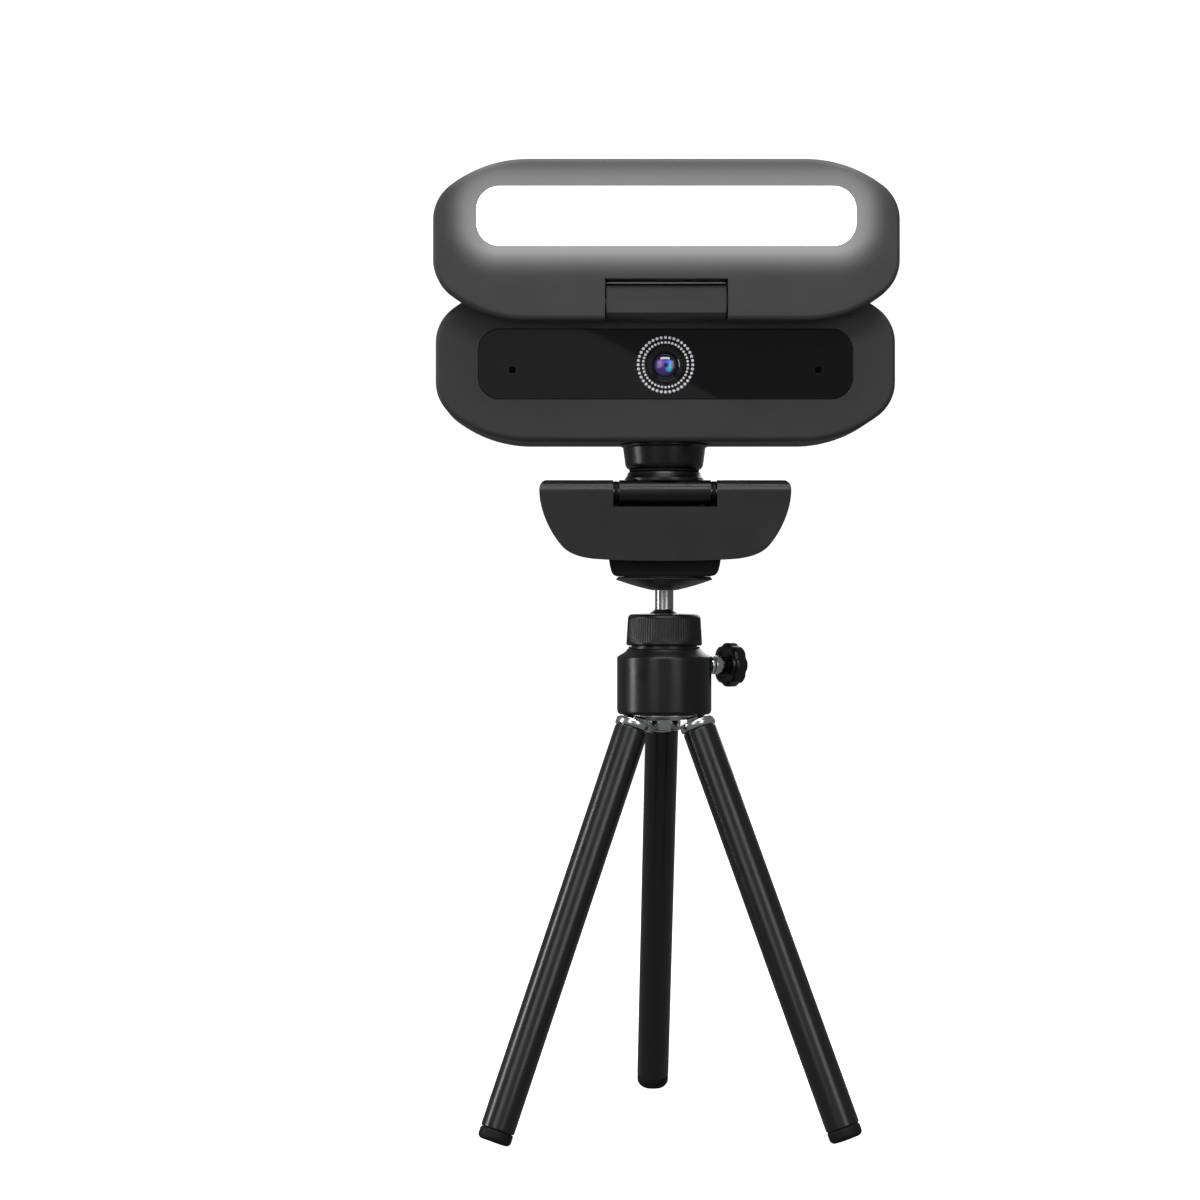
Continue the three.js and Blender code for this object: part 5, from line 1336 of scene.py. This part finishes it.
class WEBCAM_OT_head(bpy.types.Operator):
    """Round head with a stepped neck and the boss for the lock screw"""

    bl_idname = "webcam.head"
    bl_label = "Head"

    def execute(self, context):
        span = Span("head_body")
        outer = 11.8 * MM
        top = 117 * MM
        cap_low = Span("ball_cap").z0
        profile = [
            (0, span.z0), (outer - 0.55 * MM, span.z0), (outer - 0.2 * MM, span.z0 + 0.3 * MM),
            (outer, span.z0 + 1 * MM), (outer, top - 0.9 * MM),
            *arc((outer - 0.5 * MM, top - 0.5 * MM), 0.5 * MM, 10, 62, 5),
            (10.4 * MM, top + 0.62 * MM), (9.55 * MM, top + 1.2 * MM),
            (9.3 * MM, cap_low - 0.95 * MM), (9.05 * MM, cap_low - 0.8 * MM), (8.9 * MM, cap_low - 0.7 * MM),
            (8.9 * MM, cap_low - 0.3 * MM), (8.2 * MM, cap_low - 0.3 * MM),
            (8.2 * MM, span.z1), (0, span.z1),
        ]
        boss = about_lock(turned([
            (0, 7.6 * MM), (3 * MM, 7.6 * MM), (3 * MM, BOSS_REACH - 0.4 * MM),
            (2.85 * MM, BOSS_REACH - 0.1 * MM), (2.6 * MM, BOSS_REACH), (0, BOSS_REACH),
        ], 64))
        reach = 30 * MM
        trim = block(
            (AXIS.x - reach, AXIS.y - reach, top - 0.45 * MM), (AXIS.x + reach, AXIS.y + reach, top + 9 * MM),
        )
        body = weld(turned(profile, 128), carve(boss, trim))
        body = carve(
            body,
            bar(6.65 * MM, (*AXIS, Span("ball_seat").z0 - GAP), (*AXIS, span.z1 + MM), 96),
            bar(1.5 * MM, (*AXIS, span.z0 - MM), (*AXIS, span.z0 + 9 * MM), 32),
            about_lock(bar(THREAD_RADIUS + FIT, (*AXIS, 0), (*AXIS, BOSS_REACH + MM), 32)),
        )
        piece("head_shell", body, black_plastic(), "tripod_head", ["head_body"],
              edge=0.16 * MM)
        return {"FINISHED"}


class WEBCAM_OT_lock(bpy.types.Operator):
    """Lock screw with its plated sleeve, and the lobed knob"""

    bl_idname = "webcam.lock"
    bl_label = "Lock screw and knob"

    def execute(self, context):
        start = 6.7 * MM
        pitch = 0.5 * MM
        profile = [(0, start), (THREAD_RADIUS, start)]
        level = start
        while level + pitch < SLEEVE_START:
            profile += [(THREAD_RADIUS - 0.25 * MM, level + pitch / 2), (THREAD_RADIUS, level + pitch)]
            level += pitch
        radius = 2.35 * MM
        sleeve_end = KNOB_REACH + 0.55 * MM
        core_end = KNOB_REACH + KNOB_THICKNESS - 0.8 * MM
        profile += [
            (THREAD_RADIUS, SLEEVE_START), (radius - 0.3 * MM, SLEEVE_START),
            (radius, SLEEVE_START + 0.3 * MM),
            (radius, SLEEVE_START + 1.2 * MM), (radius - 0.16 * MM, SLEEVE_START + 1.35 * MM),
            (radius - 0.16 * MM, SLEEVE_START + 1.6 * MM), (radius, SLEEVE_START + 1.75 * MM),
            (radius, sleeve_end), (THREAD_RADIUS, sleeve_end), (THREAD_RADIUS, core_end), (0, core_end),
        ]
        screw = face_out(about_lock(turned(profile, 64)))
        piece("clamp_screw", screw, chrome(), "lock", ["lock_screw"], edge=0)

        end = KNOB_REACH + KNOB_THICKNESS
        reach = 5.6 * MM
        knob = turned([
            (0, end - 0.25 * MM), (2.6 * MM, end - 0.2 * MM), (4.0 * MM, end),
            *arc((reach - 0.9 * MM, end - 0.9 * MM), 0.9 * MM, 88, 8, 6),
            (reach, end - 1.6 * MM), (reach, KNOB_REACH + 1.3 * MM),
            *arc((reach - 0.9 * MM, KNOB_REACH + 0.9 * MM), 0.9 * MM, -8, -88, 6),
            (3.85 * MM, KNOB_REACH), (3.5 * MM, KNOB_REACH + 0.3 * MM), (2.75 * MM, KNOB_REACH + 0.6 * MM),
            (1.65 * MM, KNOB_REACH + 0.6 * MM), (1.65 * MM, end - 0.7 * MM), (0, end - 0.7 * MM),
        ], 192)
        for vert in knob.verts:
            away = vert.co.to_2d() - AXIS
            if away.length > 4.2 * MM:
                wave = (1 - math.cos(8 * math.atan2(away.y, away.x))) / 2
                away *= 1 - 0.4 * MM * wave ** 2 / away.length
                vert.co.x = AXIS.x + away.x
                vert.co.y = AXIS.y + away.y
        piece("lobed_knob", about_lock(knob), knob_plastic(), "lock", ["lock_knob"],
              edge=0)
        return {"FINISHED"}


# ---------------------------------------------------------------- spider and legs

LEG_SIDES = ("back", "left", "right")
SPLAY = math.radians(21.96)
LEG_RADIUS = 4.2 * MM
FERRULE_RADIUS = 4.45 * MM
FERRULE_START = -0.3 * MM
FERRULE_END = FERRULE_START + 2.1 * MM
FERRULE_SKIRT = 3 * MM
FOOT_LENGTH = 3 * MM
TONGUE_HALF = 1.1 * MM
LUG_GAP = TONGUE_HALF + 0.05 * MM
LUG_THICKNESS = 0.9 * MM
LUG_RADIUS = 1.7 * MM


def leg_place(side):
    """From a leg's own frame, its axis down -Z from the pivot, to where it stands."""
    pivot = joint_point(f"leg_{side}_fold")
    away = pivot.to_2d() - AXIS
    return Matrix.Translation(pivot) @ Matrix.Rotation(math.atan2(away.y, away.x), 4, "Z"), SPLAY


def on_leg(side, bm, leaning=True):
    place, splay = leg_place(side)
    if leaning:
        place = place @ Matrix.Rotation(-splay, 4, "Y")
    bmesh.ops.transform(bm, matrix=place, verts=bm.verts)
    return bm


def turned_leg(profile, steps=72, ring=False):
    """A profile turned about a leg's own axis."""
    bm = turned(profile, steps, ring)
    bmesh.ops.translate(bm, verts=bm.verts, vec=-AXIS.to_3d())
    return bm


def leg_length():
    """From the pivot to the foot's end, so that the rounded foot stands on the floor."""
    rounding = 1.2 * MM
    flat = 0.25 * MM
    drop = joint_point("leg_left_fold").z - (LEG_RADIUS - rounding) * math.sin(SPLAY) - rounding + flat
    return rounding + drop / math.cos(SPLAY)


class WEBCAM_OT_spider(bpy.types.Operator):
    """Bright dish under the head with a hub, and a pair of lugs for each leg"""

    bl_idname = "webcam.spider"
    bl_label = "Leg spider"

    def execute(self, context):
        span = Span("leg_spider")
        top = span.z1
        low = top - 1.1 * MM
        body = turned([
            (0, span.z0), (3.6 * MM, span.z0), (3.95 * MM, span.z0 + 0.15 * MM),
            (4.1 * MM, span.z0 + 0.5 * MM),
            (4.1 * MM, low - 0.35 * MM), (4.35 * MM, low - 0.1 * MM), (4.7 * MM, low),
            (8.2 * MM, low), (8.6 * MM, low + 0.1 * MM), (10.1 * MM, top - 0.35 * MM),
            (10.2 * MM, top - 0.2 * MM), (10.2 * MM, top), (0, top),
        ], 128)
        cutters = []
        for side in LEG_SIDES:
            rise = top - joint_point(f"leg_{side}_fold").z - 0.05 * MM
            outline = [(-LUG_RADIUS, rise), *arc((0, 0), LUG_RADIUS, 180, 390, 24), (MM, rise)]
            for inner in (LUG_GAP, -LUG_GAP - LUG_THICKNESS):
                lug = prism(outline, "Y", inner, inner + LUG_THICKNESS)
                body = weld(body, on_leg(side, lug, leaning=False))
            slot = block((-1.8 * MM, -LUG_GAP, -4 * MM), (4 * MM, LUG_GAP, 3 * MM))
            bore = bar(0.65 * MM, (0, -6 * MM, 0), (0, 6 * MM, 0), 24)
            cutters += [on_leg(side, slot, leaning=False), on_leg(side, bore, leaning=False)]
        cutters.append(bar(1.4 * MM, (*AXIS, span.z0 - MM), (*AXIS, top + MM), 32))
        cutters.append(bar(2.4 * MM, (*AXIS, span.z0 - MM), (*AXIS, span.z0 + 1.2 * MM), 48))
        piece("bright_dish", carve(body, *cutters), polished(), "tripod_head", ["leg_spider"],
              edge=0.1 * MM)
        return {"FINISHED"}


@finish_once
def polished():
    return metal("polished dish", scale_shade(colours().chrome, 0.95), 0.2)


class WEBCAM_OT_legs(bpy.types.Operator):
    """Three legs: black knuckle, bright ferrule, painted tube and rubber foot"""

    bl_idname = "webcam.legs"
    bl_label = "Legs"

    def execute(self, context):
        for side in LEG_SIDES:
            body = f"leg_{side}"
            self.knuckle(side, body)
            ferrule = turned_leg([
                (3.2 * MM, -FERRULE_END - FERRULE_SKIRT), (3.35 * MM, -FERRULE_END - FERRULE_SKIRT),
                (3.35 * MM, -FERRULE_END), (FERRULE_RADIUS - 0.3 * MM, -FERRULE_END),
                (FERRULE_RADIUS, -FERRULE_END + 0.3 * MM), (FERRULE_RADIUS, -FERRULE_START - 0.45 * MM),
                (FERRULE_RADIUS - 0.35 * MM, -FERRULE_START - 0.08 * MM),
                (FERRULE_RADIUS - 0.7 * MM, -FERRULE_START), (3.2 * MM, -FERRULE_START),
            ], 96, ring=True)
            piece(f"ferrule_{side}", on_leg(side, ferrule), polished(), body, [f"leg_ferrule_{side}"],
                  edge=0)
            self.tube(side, body)
            self.foot(side, body)
        return {"FINISHED"}

    def knuckle(self, side, body):
        eye = bar(1.5 * MM, (0, -TONGUE_HALF, 0), (0, TONGUE_HALF, 0), 40)
        web = block((-1.5 * MM, -TONGUE_HALF, -2.6 * MM), (1.5 * MM, TONGUE_HALF, 0))
        shank = turned_leg([
            (0, -FERRULE_END - 6 * MM), (3.05 * MM, -FERRULE_END - 6 * MM), (3.05 * MM, -2.3 * MM),
            (2.75 * MM, -2.0 * MM), (0, -2.0 * MM),
        ], 64)
        bm = carve(weld(eye, web, shank), bar(0.65 * MM, (0, -6 * MM, 0), (0, 6 * MM, 0), 24))
        piece(f"knuckle_{side}", on_leg(side, bm), knob_plastic(), body, [f"leg_head_{side}"],
              edge=0.12 * MM)

    def tube(self, side, body):
        start = -FERRULE_END - FIT
        end = -leg_length() + FOOT_LENGTH
        wall = 0.7 * MM
        levels = [start - 0.35 * MM + (end - start + 0.7 * MM) * i / 6 for i in range(7)]
        profile = [(LEG_RADIUS - wall, start), (LEG_RADIUS - 0.25 * MM, start)]
        profile += [(LEG_RADIUS, level) for level in levels]
        profile += [(LEG_RADIUS - 0.25 * MM, end), (LEG_RADIUS - wall, end)]
        piece(f"tube_{side}", on_leg(side, turned_leg(profile, 96, ring=True)), leg_paint(), body,
              [f"leg_tube_{side}"], edge=0)

    def foot(self, side, body):
        end = -leg_length()
        joint = end + FOOT_LENGTH - 0.05 * MM
        plug = LEG_RADIUS - 0.75 * MM
        rounding = 1.2 * MM
        reach = LEG_RADIUS - 0.06 * MM
        profile = [
            (0, end), *arc((reach - rounding, end + rounding), rounding, -90, 0, 8),
            (reach, joint - 0.55 * MM), (reach - 0.05 * MM, joint - 0.25 * MM),
            (reach - 0.3 * MM, joint), (plug, joint), (plug, joint + 5 * MM), (0, joint + 5 * MM),
        ]
        bm = on_leg(side, turned_leg(profile, 72))
        cut = bmesh.ops.bisect_plane(
            bm, geom=[*bm.verts, *bm.edges, *bm.faces], plane_co=(0, 0, 0), plane_no=(0, 0, -1),
            clear_outer=True,
        )
        rim = [item for item in cut["geom_cut"] if isinstance(item, bmesh.types.BMEdge)]
        bmesh.ops.contextual_create(bm, geom=rim)
        piece(f"foot_{side}", face_out(bm), rubber(), body, [f"leg_foot_{side}"], edge=0)


# ---------------------------------------------------------------- carried-over parts

KEPT_FINISHES = {
    "circuit_board": ("main_board", "usb_board", "led_board"),
    "steel": ("board_screw_left", "board_screw_right", "neck_nut", "swivel_screw", "lid_hinge_pin",
              "spider_screw", "leg_pin_back", "leg_pin_left", "leg_pin_right"),
    "brass": ("thread_insert",),
    "black_plastic": ("lens_barrel", "lens_holder"),
    "black_painted_shade": ("microphone_left", "microphone_right"),
    "image_chip": ("image_sensor",),
    "rubber": ("front_pad", "rear_pad"),
    "nylon": ("ball_seat",),
}


@finish_once
def image_chip():
    finish = metal("image chip", (0.1, 0.09, 0.12), 0.25)
    finish.set(Metallic=0.4)
    return finish


class WEBCAM_OT_kept_parts(bpy.types.Operator):
    """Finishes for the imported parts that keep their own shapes"""

    bl_idname = "webcam.kept_parts"
    bl_label = "Inner parts' finishes"

    def execute(self, context):
        makers = {
            "circuit_board": circuit_board, "steel": steel, "brass": brass, "black_plastic": black_plastic,
            "black_painted_shade": black_painted_shade, "image_chip": image_chip, "rubber": rubber, "nylon": nylon,
        }
        for finish, nodes in KEPT_FINISHES.items():
            for node in nodes:
                slots = frame["nodes"][node].material_slots
                for entry in slots:
                    entry.material = makers[finish]()
        return {"FINISHED"}


# ---------------------------------------------------------------- stage

def soft_box(name, size, radiance, place, aim):
    """A rectangular light whose face is that bright, so that its power follows from its size."""
    data = bpy.data.lights.new(name, "AREA")
    data.shape = "RECTANGLE"
    data.size, data.size_y = size
    data.energy = radiance * math.pi * size[0] * size[1]
    made = bpy.data.objects.new(name, data)
    bpy.context.scene.collection.objects.link(made)
    made.location = place
    made.rotation_euler = (Vector(aim) - Vector(place)).to_track_quat("-Z", "Y").to_euler()
    made.visible_camera = False
    return made


class WEBCAM_OT_stage(bpy.types.Operator):
    """White floor and surroundings, soft lights and the camera"""

    bl_idname = "webcam.stage"
    bl_label = "Stage"

    def execute(self, context):
        scene = context.scene
        scene.view_settings.view_transform = "Standard"
        self.world(scene)
        self.floor()
        self.camera(scene)
        middle = (*AXIS, 0.12)
        soft_box("Front left", (0.4, 0.6), 1.4, (-0.46, -0.95, 0.34), middle)
        soft_box("Front right", (0.4, 0.6), 1.8, (0.50, -0.95, 0.34), middle)
        soft_box("High front", (0.7, 0.16), 8.0, (0.0, -0.85, 0.8), middle)
        soft_box("Overhead", (0.5, 0.3), 7.0, (0.0, -0.16, 0.8), middle)
        soft_box("Left strip", (0.12, 0.6), 10.0, (-0.8, -0.1, 0.2), middle)
        soft_box("Rear", (0.7, 0.5), 1.8, (0.3, 1.0, 0.45), middle)
        self.glare_card()
        return {"FINISHED"}

    def glare_card(self):
        """A dim card behind the camera whose slanted edge shows as a diagonal in the glossy face."""
        high = Vector((-25.5 * MM, 294.1 * MM))
        low = Vector((55.6 * MM, 251.5 * MM))
        along = (low - high).normalized()
        inward = Vector((along.y, -along.x))
        size = 0.24
        centre = (high + low) / 2 + inward * size / 2
        distance = AXIS.y - 12.7 * MM - 0.9
        place = (centre.x, distance, centre.y)
        card = soft_box("Glare card", (0.5, size), 0.2, place, (centre.x, 0, centre.y))
        card.rotation_euler = (math.pi / 2, math.atan2(-along.y, along.x), 0)

    def world(self, scene):
        world = bpy.data.worlds.new("White surroundings")
        scene.world = world
        world.use_nodes = True
        tree = world.node_tree
        background = tree.nodes["Background"]
        path = tree.nodes.new("ShaderNodeLightPath")
        strength = tree.nodes.new("ShaderNodeMapRange")
        tree.links.new(path.outputs["Is Camera Ray"], strength.inputs["Value"])
        strength.inputs["To Min"].default_value = 0.15
        strength.inputs["To Max"].default_value = 1.1
        tree.links.new(strength.outputs[0], background.inputs["Strength"])
        background.inputs["Color"].default_value = (1, 1, 1, 1)

    def floor(self):
        half = 4.0
        bm = bmesh.new()
        bmesh.ops.create_grid(bm, x_segments=1, y_segments=1, size=half)
        mesh = bpy.data.meshes.new("floor")
        bm.to_mesh(mesh)
        bm.free()
        made = bpy.data.objects.new("floor", mesh)
        bpy.context.scene.collection.objects.link(made)
        finish = Finish("white floor")
        grain = finish.noise(40 * MM, 2.0)
        finish.set(Base_Color=finish.mix(grain, (0.93, 0.93, 0.93), (0.95, 0.95, 0.95)), Roughness=0.8)
        finish.set(Emission_Color=(1, 1, 1), Emission_Strength=1.0)
        mesh.materials.append(finish.material)
        made.visible_diffuse = False
        made.visible_glossy = False

    def camera(self, scene):
        data = bpy.data.cameras.new("Camera")
        data.lens = 76.1
        data.sensor_width = 36
        data.clip_start = 0.01
        made = bpy.data.objects.new("Camera", data)
        scene.collection.objects.link(made)
        made.location = (AXIS.x - 16.06 * MM, AXIS.y - 634.3 * MM, 130.96 * MM)
        made.rotation_euler = (math.pi / 2, 0, 0)
        scene.camera = made


class WEBCAM_PT_panel(bpy.types.Panel):
    bl_label = "Webcam on tripod"
    bl_idname = "WEBCAM_PT_panel"
    bl_space_type = "VIEW_3D"
    bl_region_type = "UI"
    bl_category = "Webcam"

    def draw(self, context):
        column = self.layout.column()
        for group in (context.scene.webcam_sizes, context.scene.webcam_colours):
            for name in group.bl_rna.properties.keys():
                if name not in ("rna_type", "name"):
                    column.prop(group, name)
        for operator in OPERATORS:
            column.operator(operator.bl_idname)


OPERATORS = (
    WEBCAM_OT_lid_frame, WEBCAM_OT_lid_back, WEBCAM_OT_diffuser, WEBCAM_OT_hinge, WEBCAM_OT_body_front,
    WEBCAM_OT_body_rear, WEBCAM_OT_face, WEBCAM_OT_lens, WEBCAM_OT_socket, WEBCAM_OT_neck,
    WEBCAM_OT_tilt_base, WEBCAM_OT_clip_plate, WEBCAM_OT_clip_leg, WEBCAM_OT_clip_pin,
    WEBCAM_OT_mount_plate, WEBCAM_OT_ball, WEBCAM_OT_cap, WEBCAM_OT_head, WEBCAM_OT_lock,
    WEBCAM_OT_spider, WEBCAM_OT_legs, WEBCAM_OT_kept_parts, WEBCAM_OT_stage,
)
CLASSES = (WebcamSizes, WebcamColours, *OPERATORS, WEBCAM_PT_panel)


def register():
    for entry in CLASSES:
        bpy.utils.register_class(entry)
    bpy.types.Scene.webcam_sizes = PointerProperty(type=WebcamSizes)
    bpy.types.Scene.webcam_colours = PointerProperty(type=WebcamColours)


def unregister():
    del bpy.types.Scene.webcam_colours
    del bpy.types.Scene.webcam_sizes
    for entry in reversed(CLASSES):
        bpy.utils.unregister_class(entry)


def main():
    register()
    for operator in OPERATORS:
        group, name = operator.bl_idname.split(".")
        getattr(getattr(bpy.ops, group), name)()


if __name__ == "__main__":
    main()
